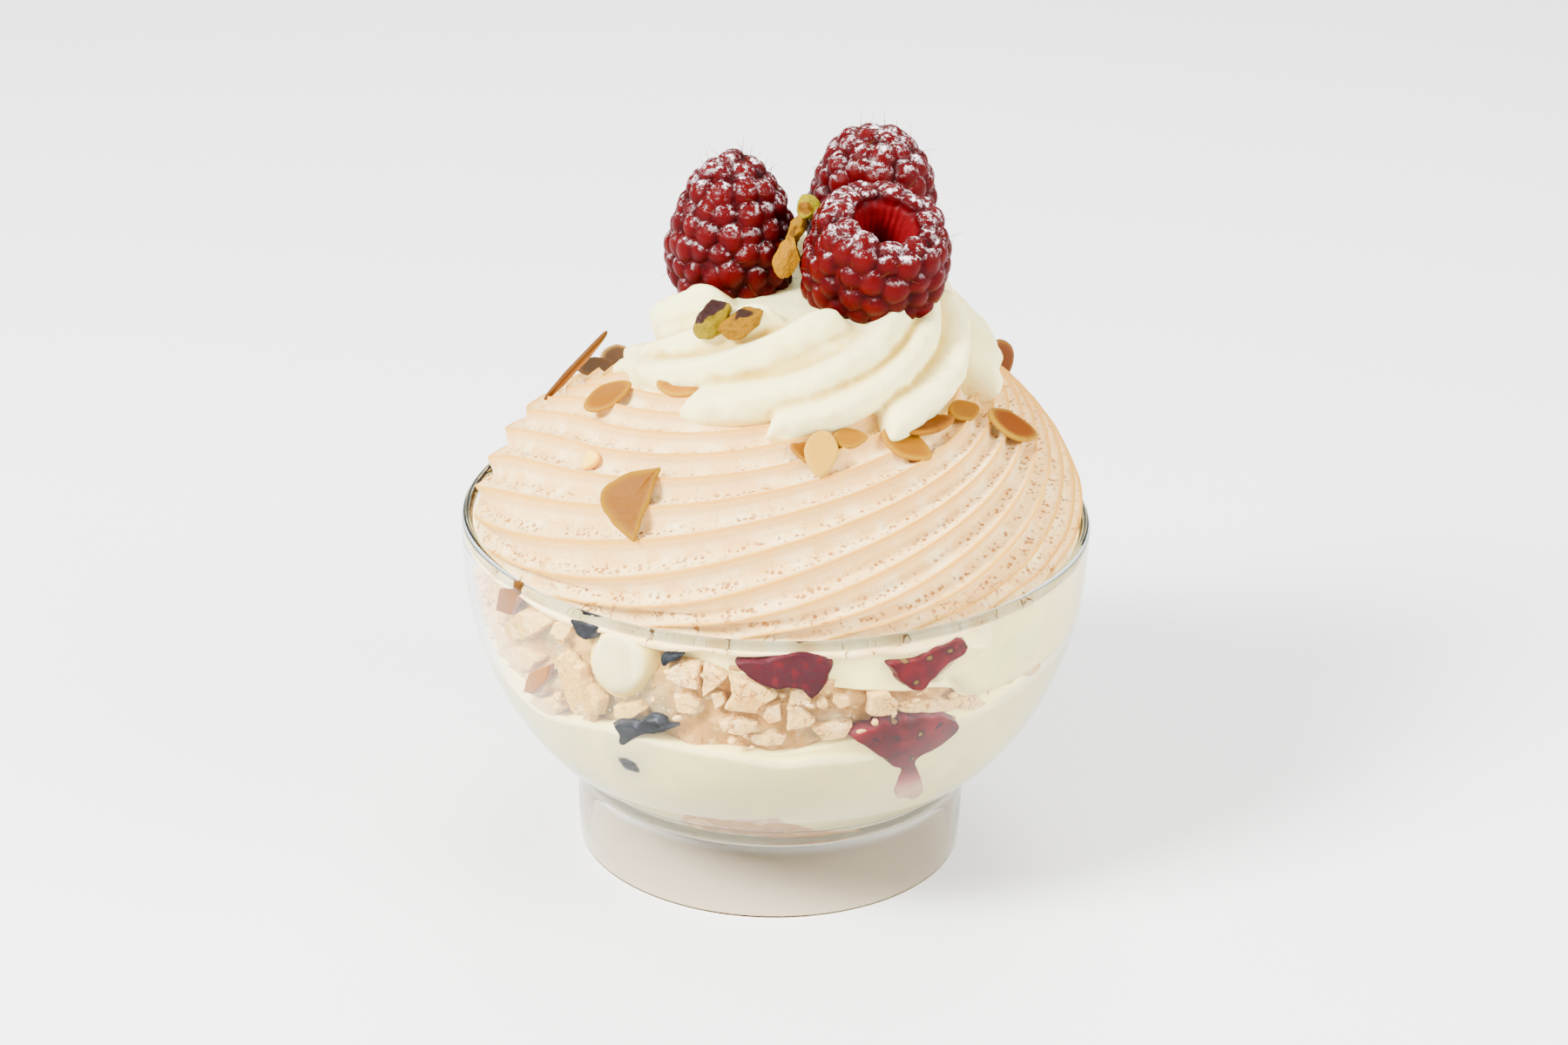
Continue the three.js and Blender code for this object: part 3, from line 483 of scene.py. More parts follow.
def strawberry_material():
    """Cut red flesh with seeds, under a film of custard where the film says so."""
    n = Nodes("strawberry")
    film = n.fact("film")
    seed = n.fact("seed")
    cloud = n.noise(4.0)
    flesh = n.layers(
        n.ramp(cloud, [(0.3, "#3a020a"), (0.55, "#56040e"), (0.8, "#780a16")]),
        ("#2c0610", n.fact("shade")),
        ("#7c141a", n.patches(1.3, 0.56, 0.7), 0.35),
        ("#26040a", n.step(seed, 0.12, 0.4)),
        ("#6a4a1c", n.step(seed, 0.5, 0.75)),
    )
    colour = n.layers(flesh, ("#8f3a36", n.step(film, 0.0, 0.55)), ("#cdb888", n.step(film, 0.35, 1.0)))
    return n.finish(colour, n.spread(cloud, 0.2, 0.3), n.bump(n.noise(1.0), 0.15), glow=0.12)


def blueberry_material():
    n = Nodes("blueberry")
    bloom = n.noise(1.6, 4.0, 0.65)
    skin = n.ramp(bloom, [(0.35, "#06080d"), (0.58, "#10141b"), (0.8, "#4a505a")])
    colour = n.layers(skin, ("#c6be8e", n.step(n.fact("film"), 0.1, 0.95)))
    return n.finish(colour, n.spread(bloom, 0.35, 0.2), n.bump(n.noise(0.7), 0.12))


def raspberry_material():
    """Deep red skin, darker between the drupelets as painted shade, dusted with sugar that lies in grainy
    clumps where it faces up.
    """
    n = Nodes("raspberry")
    tip = n.fact("tip")
    inner = n.fact("inner")
    up = n.vertical(n.new("NewGeometry").outputs["Normal"])
    skin = n.layers(
        # painted shade: darkest in the gaps between drupelets
        n.ramp(tip, [(0.0, "#240103"), (0.35, "#300103"), (0.7, "#3a0104"), (1.0, "#460204")]),
        ("#520305", n.patches(2.4, 0.45, 0.7, 2.0), 0.5),
        ("#5c060c", inner),
    )
    heap = n.times(n.patches(1.3, 0.5, 0.59, 4.0, 0.75), n.step(up, 0.18, 0.85), n.step(tip, 0.15, 0.65))
    grains = n.patches(0.2, 0.38, 0.5, 2.0, 0.8)
    sugar = n.times(heap, n.maths("MAXIMUM", grains, n.step(heap, 0.6, 1.0)))
    dust = n.times(n.patches(0.2, 0.55, 0.7, 2.0, 0.8), n.step(up, -0.2, 0.8), 0.015)
    white = n.times(n.maths("MAXIMUM", sugar, dust), n.maths("SUBTRACT", 1.0, inner))
    colour = n.layers(skin, ("#f0d8da", white), ("#4a3013", n.fact("hair")))
    normal = n.bump(white, 0.2, n.bump(n.noise(0.4), 0.06))
    return n.finish(colour, n.spread(white, 0.4, 0.42), normal, glow=0.05, Specular_IOR_Level=0.04)


# ---- bowl


def cup_radius(s):
    return mix(JOIN_RADIUS, RIM_RADIUS, (1 - (1 - s) ** CUP_POWER) ** (1 / CUP_ROUNDNESS))


def cup_side(inset):
    """Radius and height along the cup's curved side, moved inwards by a distance."""
    t = np.linspace(0, 1, 70) ** 1.6
    low = np.maximum(t - 1e-3, 0)
    high = np.minimum(t + 1e-3, 1)
    dr = cup_radius(high) - cup_radius(low)
    dz = (high - low) * (RIM_Z - JOIN_Z)
    length = np.hypot(dr, dz)
    return cup_radius(t) - inset * dz / length, mix(JOIN_Z, RIM_Z, t) + inset * dr / length


INNER_R, INNER_Z = cup_side(WALL)
ABOVE_FLOOR = INNER_Z > FLOOR_TOP_Z + 0.4
INNER_R = np.concatenate([[INNER_R[ABOVE_FLOOR][0] - 1.6], INNER_R[ABOVE_FLOOR]])
INNER_Z = np.concatenate([[FLOOR_TOP_Z], INNER_Z[ABOVE_FLOOR]])


def wall(z):
    """Inner radius of the cup at a height."""
    return np.interp(z, INNER_Z, INNER_R)


def recess(points, reach=2.5):
    """How far points stand off the wall, 1 at the reach."""
    return np.clip((wall(points[:, 2]) - np.hypot(points[:, 0], points[:, 1])) / reach, 0, 1)


def arc(centre, radius, start, end, count):
    a = np.radians(np.linspace(start, end, count))
    return np.column_stack([centre[0] + radius * np.cos(a), centre[1] + radius * np.sin(a)])


def glass_bowl(material):
    """One clear moulding: thin curved cup with a rolled lip, on a hollow ring foot."""
    outside = np.column_stack(cup_side(0))
    outside = outside[(outside[:, 0] > FOOT_TOP_RADIUS + 0.25) & (outside[:, 1] < RIM_Z - 0.7)]
    inside = np.column_stack([INNER_R, INNER_Z])[INNER_Z < RIM_Z - 1.0][::-1]
    corner = FOOT_TOP_RADIUS - FOOT_WALL - 0.8
    quarters = (0.25, 0.5, 0.75, 1.0)
    outline = np.concatenate([
        [[14.0, FLOOR_UNDERSIDE_Z], [28.0, FLOOR_UNDERSIDE_Z], [corner, FLOOR_UNDERSIDE_Z]],
        arc((corner, FLOOR_UNDERSIDE_Z - 0.8), 0.8, 80, 0, 5),
        [[mix(FOOT_TOP_RADIUS, FOOT_RADIUS, s) - FOOT_WALL, 13.0 * (1 - s)] for s in quarters[:3]],
        arc((FOOT_RADIUS - FOOT_WALL + 0.35, 0.35), 0.35, 180, 270, 5),
        arc((FOOT_RADIUS - 0.35, 0.35), 0.35, -90, 0, 5),
        [[mix(FOOT_RADIUS, FOOT_TOP_RADIUS, s), mix(0.4, JOIN_Z - 0.6, s)] for s in quarters],
        outside,
        arc((RIM_RADIUS - LIP, RIM_Z), LIP, -30, 210, 14),
        inside,
        [[26.0, FLOOR_TOP_Z], [12.0, FLOOR_TOP_Z]],
    ])
    rings = polar(outline[:, :1], np.arange(160) * 360 / 160, outline[:, 1:])
    body = closed_stack(rings, [0, 0, FLOOR_UNDERSIDE_Z], [0, 0, FLOOR_TOP_Z])
    Bodies().add(body).piece("glass_bowl", material, ["bowl"], "clear_bowl")


# ---- pieces pressed on the wall


def photo_ray(x, y):
    """Direction of sight through a place in the picture."""
    roll = math.radians(CAMERA_ROLL)
    pitch = math.radians(CAMERA_PITCH)
    focal = LENS / SENSOR * PICTURE[0]
    dx = x - PICTURE[0] / 2
    dy = y - PICTURE[1] / 2
    u = (math.cos(roll) * dx + math.sin(roll) * dy) / focal
    v = (-math.sin(roll) * dx + math.cos(roll) * dy) / focal
    ray = [u, math.cos(pitch) - v * math.sin(pitch), -math.sin(pitch) - v * math.cos(pitch)]
    return unit(np.array(ray))


def on_wall(corners):
    """Azimuth and height on the cup's inner wall of places in the picture, as "x,y x,y"."""
    found = []
    for corner in corners.split():
        x, y = map(float, corner.split(","))
        walk = np.array(CAMERA_AT) + np.arange(470, 640, 0.1)[:, None] * photo_ray(x, y)
        inside = np.hypot(walk[:, 0], walk[:, 1]) < np.where(walk[:, 2] > 0, wall(walk[:, 2]), 0)
        hit = walk[np.argmax(inside)]
        found.append((math.degrees(math.atan2(hit[1], hit[0])), hit[2]))
    return np.array(found)


def closed_curve(corners, count, rounded):
    """count places along a closed outline through the corners."""
    corners = np.asarray(corners, float)
    if rounded:
        t = np.linspace(0, 1, 12, endpoint=False)[:, None]
        dense = []
        for i in range(len(corners)):
            a, b, c, d = (corners[(i + k) % len(corners)] for k in (-1, 0, 1, 2))
            dense.append(0.5 * (2 * b + (c - a) * t + (2 * a - 5 * b + 4 * c - d) * t ** 2
                                + (3 * b - a - 3 * c + d) * t ** 3))
        corners = np.concatenate(dense)
    loop = np.concatenate([corners, corners[:1]])
    travel = travelled(loop[:, 0] * MM_PER_DEGREE, loop[:, 1])
    at = np.linspace(0, travel[-1], count, endpoint=False)
    return np.column_stack([np.interp(at, travel, loop[:, k]) for k in (0, 1)])


# Shares of the outline at which a pressed body has its rings, behind and on its face.
BACK = [0.25, 0.5, 0.72, 0.88, 0.97]
FRONT = [1.0, 0.99, 0.965, 0.93, 0.88, 0.8, 0.68, 0.54, 0.4, 0.26, 0.12]


def pressed(outline, depth, press=0.3, edge=1.0, tilt=(0.0, 0.0), ragged=0.0, bumps=0.15, seed=0,
            rounded=True, count=72, flat_to=0.9):
    """A body against the wall with the given outline of (azimuth, height) there.

    press is how far its face reaches into the wall, edge how far its border stands off
    it, and tilt swings the face inwards, per mm to the right and per mm up.
    """
    loop = closed_curve(outline, count, rounded)
    centre = loop.mean(axis=0)
    if np.sum(loop[:, 0] * np.roll(loop[:, 1], -1) - loop[:, 1] * np.roll(loop[:, 0], -1)) < 0:
        loop = loop[::-1]
    border = polar(wall(loop[:, 1]), loop[:, 0], loop[:, 1])
    if ragged:
        loop = centre + (loop - centre) * (1 + ragged * rough(border, 1.6, seed + 3)[:, None])
    rings = []
    for share in BACK + FRONT:
        at = centre + (loop - centre) * share
        place = polar(wall(at[:, 1]), at[:, 0], at[:, 1])
        if len(rings) < len(BACK):
            off = edge + (depth - edge) * math.sqrt(1 - share ** 2) + bumps * rough(place, 3.0, seed + 9)
        else:
            lift = smooth((share - flat_to) / (1.0 - flat_to))
            off = mix(-press, edge, lift) + bumps * rough(place, 2.4, seed, 4) * (0.45 + lift)
            off = off + (at[:, 0] - centre[0]) * MM_PER_DEGREE * tilt[0] + (at[:, 1] - centre[1]) * tilt[1]
        rings.append(polar(wall(at[:, 1]) - np.maximum(off, -press), at[:, 0], at[:, 1]))
    inner = polar(wall(centre[1]) - depth, centre[0], centre[1])
    outer = polar(wall(centre[1]) + press, centre[0], centre[1])
    if tilt != (0.0, 0.0):
        outer = rings[-1].mean(axis=0)
    return closed_stack(np.array(rings), inner, outer)


def set_on_wall(x, y, azimuth, z, turn):
    """An outline in mm, turned and set on the wall."""
    c = math.cos(math.radians(turn))
    s = math.sin(math.radians(turn))
    return np.column_stack([azimuth + (x * c - y * s) / MM_PER_DEGREE, z + x * s + y * c])


def ellipse(azimuth, z, width, height, turn=0.0):
    a = np.radians(np.arange(0, 360, 30))
    return set_on_wall(np.cos(a) * width / 2, np.sin(a) * height / 2, azimuth, z, turn)


def wedge(azimuth, z, width, height, turn):
    """Outline of a cut strawberry with its point down."""
    x = np.array([-0.5, -0.2, 0.2, 0.5, 0.34, 0.06, -0.3])
    y = np.array([0.42, 0.5, 0.48, 0.36, -0.05, -0.5, -0.08])
    return set_on_wall(x * width, y * height, azimuth, z, turn)


STRAWBERRIES = {
    "strawberry_1": on_wall("844,759 876,757 900,749 920,747 942,750 958,760 954,773 945,791 932,801 "
                            "924,792 906,789 888,790 868,784 853,773"),
    "strawberry_2": on_wall("1018,760 1050,755 1072,742 1088,737 1101,730 1113,738 1106,749 1090,758 "
                            "1077,771 1066,782 1060,790 1052,793 1041,787 1031,781 1024,771"),
    "strawberry_3": on_wall("973,842 1000,830 1032,820 1060,817 1088,820 1102,830 1091,843 1072,856 "
                            "1056,864 1048,874 1050,892 1056,906 1046,914 1031,914 1021,909 1027,892 "
                            "1031,880 1020,877 1004,865 988,853"),
    "strawberry_4": wedge(38, 53.6, 15, 9.4, 12),
    "strawberry_5": wedge(97, 41.5, 18, 17, -10),
    "strawberry_6": ellipse(142, 53.4, 15, 9, 8),
}
DEEP_STRAWBERRIES = ("strawberry_3", "strawberry_5")
SEED_COLUMN = 3.9
SEED_ROW = 4.1


def seed_field(points, seed):
    """Seeds set in rows over the fruit, 1 on a seed."""
    x = azimuth_of(points) * MM_PER_DEGREE / SEED_COLUMN + seed * 0.37
    y = points[:, 2] / SEED_ROW + seed * 0.61
    row = np.floor(y)
    x = x + 0.5 * (row % 2)
    column = np.floor(x)
    jitter = noise(np.stack([column, row, row * 0], axis=-1) * 7.3, 1.0, seed)
    dx = (x - column - 0.5) * SEED_COLUMN + jitter * 1.8
    dy = (y - row - 0.5) * SEED_ROW - jitter * 1.6
    return np.clip(1.3 - np.hypot(dx / 0.75, dy / 0.6), 0, 1)


def strawberries(material):
    for rank, (name, outline) in enumerate(STRAWBERRIES.items()):
        depth = 9.0 if name in DEEP_STRAWBERRIES else 7.0
        points, faces = pressed(outline, depth, 0.34, 1.1, ragged=0.08, bumps=0.3, seed=rank * 5, count=140)
        seeds = seed_field(points, rank)
        z = points[:, 2]
        film = np.zeros(len(points))
        shade = 0.35 * smooth(noise(points, 6.0, rank + 2))
        if name == "strawberry_3":
            film = smooth((35.5 - z) / 6.0) * 0.62 + 0.35 * smooth(rough(points, 3.0, 5)) * (z < 37)
        if name == "strawberry_1":
            film = 0.06 + 0.14 * smooth(rough(points, 5.0, 7))
            shade = shade + 0.8
            seeds = seeds * 0.4
        seeds = seeds * (film < 0.3)
        fruit = Bodies().add((points, faces), seed=seeds, film=film, shade=np.clip(shade, 0, 1))
        fruit.piece(name + "_fruit", material, [name], "strawberry")


BLUEBERRIES = {
    "blueberry_1": on_wall("655,708 672,712 690,719 686,729 676,736 667,731 660,721"),
    "blueberry_2": on_wall("704,831 716,825 732,829 746,820 754,823 762,827 766,833 780,833 760,840 "
                           "740,841 726,849 714,855 709,846"),
    "blueberry_3": on_wall("709,862 724,864 735,872 743,887 728,884 714,876"),
    "blueberry_4": on_wall("759,753 770,750 784,751 778,757 770,760 762,765"),
    "blueberry_5": ellipse(66, 48.5, 9, 8),
    "blueberry_6": ellipse(119, 33.5, 8, 7),
    "blueberry_7": ellipse(171, 47.5, 9, 8),
}


def blueberries(material):
    columns = 100
    for rank, (name, outline) in enumerate(BLUEBERRIES.items()):
        depth = 2.8 if name == "blueberry_4" else 5.5
        points, faces = pressed(outline, depth, 0.3, 0.9, ragged=0.2, bumps=0.45, seed=40 + rank * 7,
                                flat_to=0.75, count=columns)
        film = 0.15 * smooth(rough(points, 2.0, rank))
        if name == "blueberry_3":
            share = np.append(np.repeat(BACK + FRONT, columns), [0.0, 0.0])
            film = film + 0.9 * smooth((share - 0.45) / 0.5)
        Bodies().add((points, faces), film=film).piece(name + "_fruit", material, [name], "blueberry")


DOLLOPS = {
    "cream_dollop_1": on_wall("690,718 712,716 734,724 752,732 760,745 759,765 750,786 735,800 716,807 "
                              "699,802 685,788 677,772 675,756 679,737"),
    "cream_dollop_2": ellipse(84, 53.2, 11.6, 10),
}


def dollops(material):
    for rank, (name, outline) in enumerate(DOLLOPS.items()):
        body = pressed(outline, 9.0, 0.36, 2.6, (0.2, 0.0), bumps=0.12, seed=70 + rank, flat_to=0.6)
        Bodies().add(body, recess=recess).piece(name + "_lump", material, [name], "whipped_cream")


# ---- fillings

CRUMB_TOP = level_around([
    (-175, 17.2), (-118, 17.6), (-104, 22.5), (-88, 25.2), (-74, 21.5), (-56, 17.6),
    (20, 17.2), (60, 20.5), (95, 24), (125, 18),
])
CUSTARD_TOP = level_around([
    (-180, 46), (-160, 42), (-141, 38), (-120, 41), (-92, 40), (-62, 44), (-45, 45.6),
    (0, 46.5), (50, 43), (110, 40.5),
])
RUBBLE_TOP = level_around([
    (-180, 55), (-150, 56.6), (-100, 56.4), (-84, 54.4), (-62, 52), (-46, 48.2),
    (-10, 48.6), (30, 51), (80, 55), (130, 56.4),
])
DOME_BOTTOM = level_around([
    (-180, 58.4), (-110, 58.2), (-88, 58.9), (-66, 57.4), (-45, 58.6), (20, 57.8),
    (75, 58.7), (130, 57.8),
])
# How far below its top the custard lets go of the wall.
CUSTARD_FREE = level_around([
    (-150, 0.6), (-100, 0.8), (-84, 2.6), (-70, 4.6), (-50, 3.0), (-20, 0.8), (60, 2.0),
])
# How far the cream stands off the wall; below 0 it is pressed on it.
CREAM_PRESS = level_around([
    (-180, 3.4), (-110, 3.0), (-80, 1.6), (-58, 0.9), (-40, -0.2), (-12, -0.2),
    (2, 2.8), (60, 2.0), (120, 3.0),
])
CRUMB_BOTTOM_Z = 15.68
CUSTARD_BOTTOM_Z = 16.6


def filling(low, high, rows, columns, inset, shares, poles=None):
    """A closed body right across the bowl; inset says how far its side stands off the wall.

    Its ends run in to the axis by the shares. They stay level where the heights of the
    poles are given, and otherwise ease to their mean height.
    """
    azimuths = np.arange(columns) * 360 / columns - 180
    levels = low(azimuths), high(azimuths)
    z = mix(*levels, np.linspace(0, 1, rows)[:, None])
    side = polar(wall(z), azimuths, z)
    side = polar(wall(z) - inset(azimuths, z, side), azimuths, z)
    ends = []
    for edge, level in zip(side[[0, -1]], levels):
        rings = edge * np.array([[s, s, 1.0] for s in shares])[:, None]
        if poles is None:
            rings[..., 2] = mix(level.mean(), level, np.array(shares)[:, None])
        ends.append(rings)
    start, end = poles or [level.mean() for level in levels]
    return closed_stack(np.concatenate([ends[0], side, ends[1][::-1]]), [0, 0, start], [0, 0, end])


def custard_inset(azimuth, z, side):
    free = smooth((z - (CUSTARD_TOP(azimuth) - CUSTARD_FREE(azimuth))) / 1.2)
    return mix(-0.16, 1.3 + 0.25 * noise(side, 9.0, 3), free)


def custard_layer(material):
    points, faces = filling(lambda a: CUSTARD_BOTTOM_Z + 0 * a, CUSTARD_TOP, 40, 360,
                            custard_inset, (0.2, 0.5, 0.8, 0.93))
    # the juice round the blueberry that lies in the custard
    azimuth, z = BLUEBERRIES["blueberry_3"].mean(axis=0)
    stain = np.exp(-(np.linalg.norm(points - polar(wall(z), azimuth, z), axis=1) / 3.4) ** 2)
    layer = Bodies().add((points, faces), recess=recess, wet=stain)
    layer.piece("custard", material, ["custard_layer"], "custard")


# Outlines of the broken slabs that show, in the picture, and how far each face stands off the wall.
SLABS = [
    ("640,752 652,748 668,765 676,786 694,803 689,821 682,829 660,820 650,794", 0.0),
    ("762,771 779,760 800,762 805,772 803,793 786,790 764,779", 0.2),
    ("807,764 828,770 836,777 818,794 806,802", 0.5),
    ("836,775 854,778 870,784 884,790 893,800 878,808 870,820 852,819 829,814 839,801", -0.1),
    ("824,829 852,825 870,830 868,838 852,844 826,838", 0.2),
    ("880,810 896,807 898,827 881,832 875,822", 0.4),
    ("814,798 829,795 833,808 820,817", 0.9),
    ("906,792 920,788 930,790 932,808 916,811 906,803", 0.6),
    ("904,809 919,811 936,828 931,833 902,839", 0.3),
    ("956,797 976,800 974,808 964,813 954,804", 0.1),
    ("998,798 1020,794 1032,806 1027,819 1008,822 995,820", 0.0),
    ("1033,810 1052,806 1080,803 1103,801 1104,812 1078,816 1034,819", 0.4),
    ("1100,800 1124,798 1133,806 1118,814 1100,813", 0.5),
    ("636,714 648,708 660,716 656,727 644,738 631,728", 0.5),
    ("598,702 622,702 634,716 620,727 600,736 583,730 584,714", 0.1),
    ("575,744 597,741 620,756 611,770 590,765", 0.4),
    ("608,802 636,798 652,811 636,821 613,813", 0.4),
    ("600,772 616,770 630,786 622,800 604,796", 0.8),
    ("852,846 880,842 905,846 900,856 868,857", 0.9),
    ("930,836 956,830 980,832 972,846 944,852", 0.7),
    ("770,800 792,798 806,808 798,822 776,820", 1.1),
    ("700,812 732,806 742,816 724,826 704,826", 1.0),
]
HIDDEN_SLABS = 34
LUMPS = 160
LARGE_LUMPS = 50


def hidden_slab(rank):
    """Outline on the wall of a broken slab round the back, and how far it stands off."""
    random = np.random.default_rng(rank + 500)
    azimuth = -36 + 246 * (rank + random.uniform(0.1, 0.9)) / HIDDEN_SLABS
    height = (rank * 0.618 + random.uniform(0, 0.2)) % 1.0
    z = mix(CUSTARD_TOP(azimuth) + 2.2, RUBBLE_TOP(azimuth) - 2.2, height)
    a = np.radians(np.arange(7) * 360 / 7 + random.uniform(-18, 18, 7))
    size = random.uniform(0.75, 1.2, 7) * random.uniform(2.2, 4.4)
    outline = set_on_wall(size * 1.25 * np.cos(a), size * 0.8 * np.sin(a), azimuth, z, 0.0)
    return outline, random.uniform(0.0, 0.7)


def rock(size, seed, subdivisions):
    """An angular lump: a ball cut by random planes, with a rough broken surface."""
    random = np.random.default_rng(seed)
    normals = random.normal(size=(13, 3))
    ball, points, faces = chopped(subdivisions, normals, random.uniform(0.62, 0.95, 13), 1.15)
    turn = np.array(Matrix.Rotation(random.uniform(0, 6.3), 3, Vector(unit(random.normal(size=3)))))
    points = points * size / 2 * [1.0, 0.8, 0.6]
    points = points + unit(ball) * (min(0.3, size * 0.07) * rough(points + seed, 1.1, seed))[:, None]
    return points @ turn.T, faces


def toast(points):
    """How toasted the heap is, most at its front left."""
    azimuth = azimuth_of(points)
    return smooth((-106 - azimuth) / 12) * smooth((azimuth + 172) / 15)


def broken_recess(points, reach=2.5):
    """As recess, but less deep towards the back, where fewer slabs lie on the wall."""
    from_front = np.abs((azimuth_of(points) + 94 + 180) % 360 - 180)
    return recess(points, reach) * (1 - 0.6 * smooth((from_front - 52) / 20))


def rubble_inset(azimuth, z, side):
    return 2.2 + 1.5 * rough(side, 4.5, 8) + 0.5 * rough(side, 1.2, 4)


def meringue_rubble(material):
    """Broken baked meringue: a crumbly heap, the slabs pressed on the wall and loose lumps."""
    bodies = Bodies()
    points, faces = filling(lambda a: CUSTARD_TOP(a) - 0.8, RUBBLE_TOP, 34, 360,
                            rubble_inset, (0.5, 0.85), (41.5, 53.5))
    azimuth, z = on_wall("716,818")[0]
    puddle = np.exp(-(np.linalg.norm(points - polar(wall(z), azimuth, z), axis=1) / 8.0) ** 2)
    wet = np.maximum(smooth(1.4 * noise(points, 9.0, 31) - 0.1), smooth(1.6 * puddle))
    bodies.add((points, faces), recess=broken_recess, wet=wet, toast=toast)
    slabs = []
    for rank, (corners, off) in enumerate(SLABS):
        tilt = tuple(np.random.default_rng(rank).uniform(-0.07, 0.07, 2))
        slabs.append((on_wall(corners), off, tilt, rank * 3, 96, 1.0))
    for rank in range(HIDDEN_SLABS):
        slabs.append((*hidden_slab(rank), (0.0, 0.0), rank * 3 + 200, 64, 0.0))
    for outline, off, tilt, seed, count, brown in slabs:
        points, faces = pressed(outline, 4.0, 0.1 - off, 1.5 + off, tilt, ragged=0.17, bumps=0.55, seed=seed,
                                rounded=False, count=count, flat_to=0.86)
        bodies.add((points, faces), recess=recess(points) * 0.8, wet=0.0, toast=toast(points) * brown)
    random = np.random.default_rng(12)
    for rank in range(LUMPS):
        large = rank < LARGE_LUMPS
        azimuth = random.uniform(-180, 180)
        size = random.uniform(3.0, 8.0) if large else random.uniform(0.9, 2.4)
        height = mix(CUSTARD_TOP(azimuth) + 1.5, RUBBLE_TOP(azimuth) - 1.0, random.uniform(0, 1))
        points, faces = rock(size, rank + 100, 3 if large else 2)
        behind_slabs = large and -142 < azimuth < -46
        sink = size * 0.42 + (1.6 if behind_slabs else random.uniform(-1.0, 0.8))
        points = points + polar(wall(height) - sink, azimuth, height)
        radius = np.hypot(points[:, 0], points[:, 1])
        points[:, :2] *= (np.minimum(radius, wall(points[:, 2]) + 0.1) / radius)[:, None]
        bodies.add((points, faces), recess=broken_recess(points, 3.5), wet=0.0, toast=toast)
    bodies.piece("meringue_pieces", material, ["meringue_rubble"], "meringue")


CRUMB_PATCH = ("777,927 800,929 840,933 872,934 892,932 901,937 922,941 955,946 985,948 960,952 927,957 "
               "890,956 860,952 830,949 800,945 785,937")


def crumb_inset(azimuth, z, side):
    return mix(-0.14, 0.6 + 0.5 * rough(side, 3.0, 5), smooth((z - 16.3) / 1.0))


def base_crumb(material):
    """Crumb over the cup's floor, and the patch of it that shows at the front."""
    bodies = Bodies()
    heap = filling(lambda a: CRUMB_BOTTOM_Z + 0 * a, lambda a: CRUMB_TOP(a) - 0.6, 12, 240,
                   crumb_inset, (0.5,), (CRUMB_BOTTOM_Z, 19.5))
    bodies.add(heap, recess=recess, wet=0.0, patch=0.0)
    patch = pressed(on_wall(CRUMB_PATCH), 2.5, 0.3, 0.5, ragged=0.05, bumps=0.25, seed=91, count=120)
    bodies.add(patch, recess=recess, wet=0.0, patch=1.0)
    bodies.piece("crumb_base", material, ["base_crumb"], "crumb")


CREAM_LUMPS = (
    "1142,736 1160,722 1180,712 1198,700 1199,712 1191,730 1190,746 1176,755 1156,757 1148,766 1138,784 "
    "1126,798 1106,799 1092,788 1086,778 1100,765 1122,748",
    "1104,742 1120,738 1136,738 1118,750 1098,764 1084,776 1070,786 1066,782 1078,771 1092,757",
)


def cream_inset(azimuth, z, side):
    stand = CREAM_PRESS(azimuth)
    return np.maximum(stand + 0.9 * rough(side, 9.0, 21) * (stand > 0), -0.16)


def upper_cream(material):
    """Whipped cream between the rubble and the dome, with lumps pressed on the wall."""
    bodies = Bodies()
    layer = filling(lambda a: RUBBLE_TOP(a) - 1.5, lambda a: DOME_BOTTOM(a) + 1.0, 30, 360,
                    cream_inset, (0.5, 0.9), (52, 57.5))
    bodies.add(layer, recess=recess)
    for rank, corners in enumerate(CREAM_LUMPS):
        lump = pressed(on_wall(corners), 5.0, 0.24, 1.2, bumps=0.2, seed=rank + 60, flat_to=0.8)
        bodies.add(lump, recess=recess)
    bodies.piece("cream_layer", material, ["upper_cream"], "whipped_cream")


# ---- meringue dome


def crest_radius(z):
    t = np.clip((z - DOME["base"]) / DOME["height"], 0, 1)
    body = DOME["radius"] * (1 - t ** DOME["power"]) ** (1 / DOME["root"])
    return mix(np.minimum(51.7, body), body, smooth((z - 61.6) / 2.6))


def crest_normal(z):
    dr = crest_radius(z + 0.2) - crest_radius(z - 0.2)
    length = np.hypot(dr, 0.4)
    return 0.4 / length, -dr / length


def dome_centre(z):
    share = smooth((z - 61.6) / 6.6)
    return np.stack([DOME["x"] * share, DOME["y"] * share, 0 * share], axis=-1)


def dome_sag(azimuth, z):
    """The swirl sinks towards the back left."""
    a = np.asarray(azimuth, float) % 360
    share = smooth((a - 60) / 70) * smooth((212 - a) / 60)
    return 8 * share * np.maximum(0, (z - 60) / 30) ** 1.8


def ridge_azimuth(place, z):
    even = place * 360 / RIDGES - 277.7
    s = (z - 60) / 20
    twist = np.degrees(1.985 * s - 1.486 * s ** 2 + 1.053 * s ** 3)
    azimuth = even - math.degrees(0.231) * np.cos(np.radians(even)) + twist
    # the ridges climb fastest at the left
    left = np.clip(azimuth % 360 - 180, -LEFT_REACH, LEFT_REACH)
    return azimuth - 7 * np.sin(2 * np.pi * left / LEFT_REACH) * np.cos(np.pi / 2 * left / LEFT_REACH) ** 2


def dome_rows():
    """Heights from the neck to the top, evenly spaced along the dome's outline."""
    z = np.linspace(NECK_Z, DOME_TOP_Z, 2000)
    travel = travelled(crest_radius(z), z)
    return np.interp(np.arange(0, travel[-1], ROW_SPACING), travel, z)


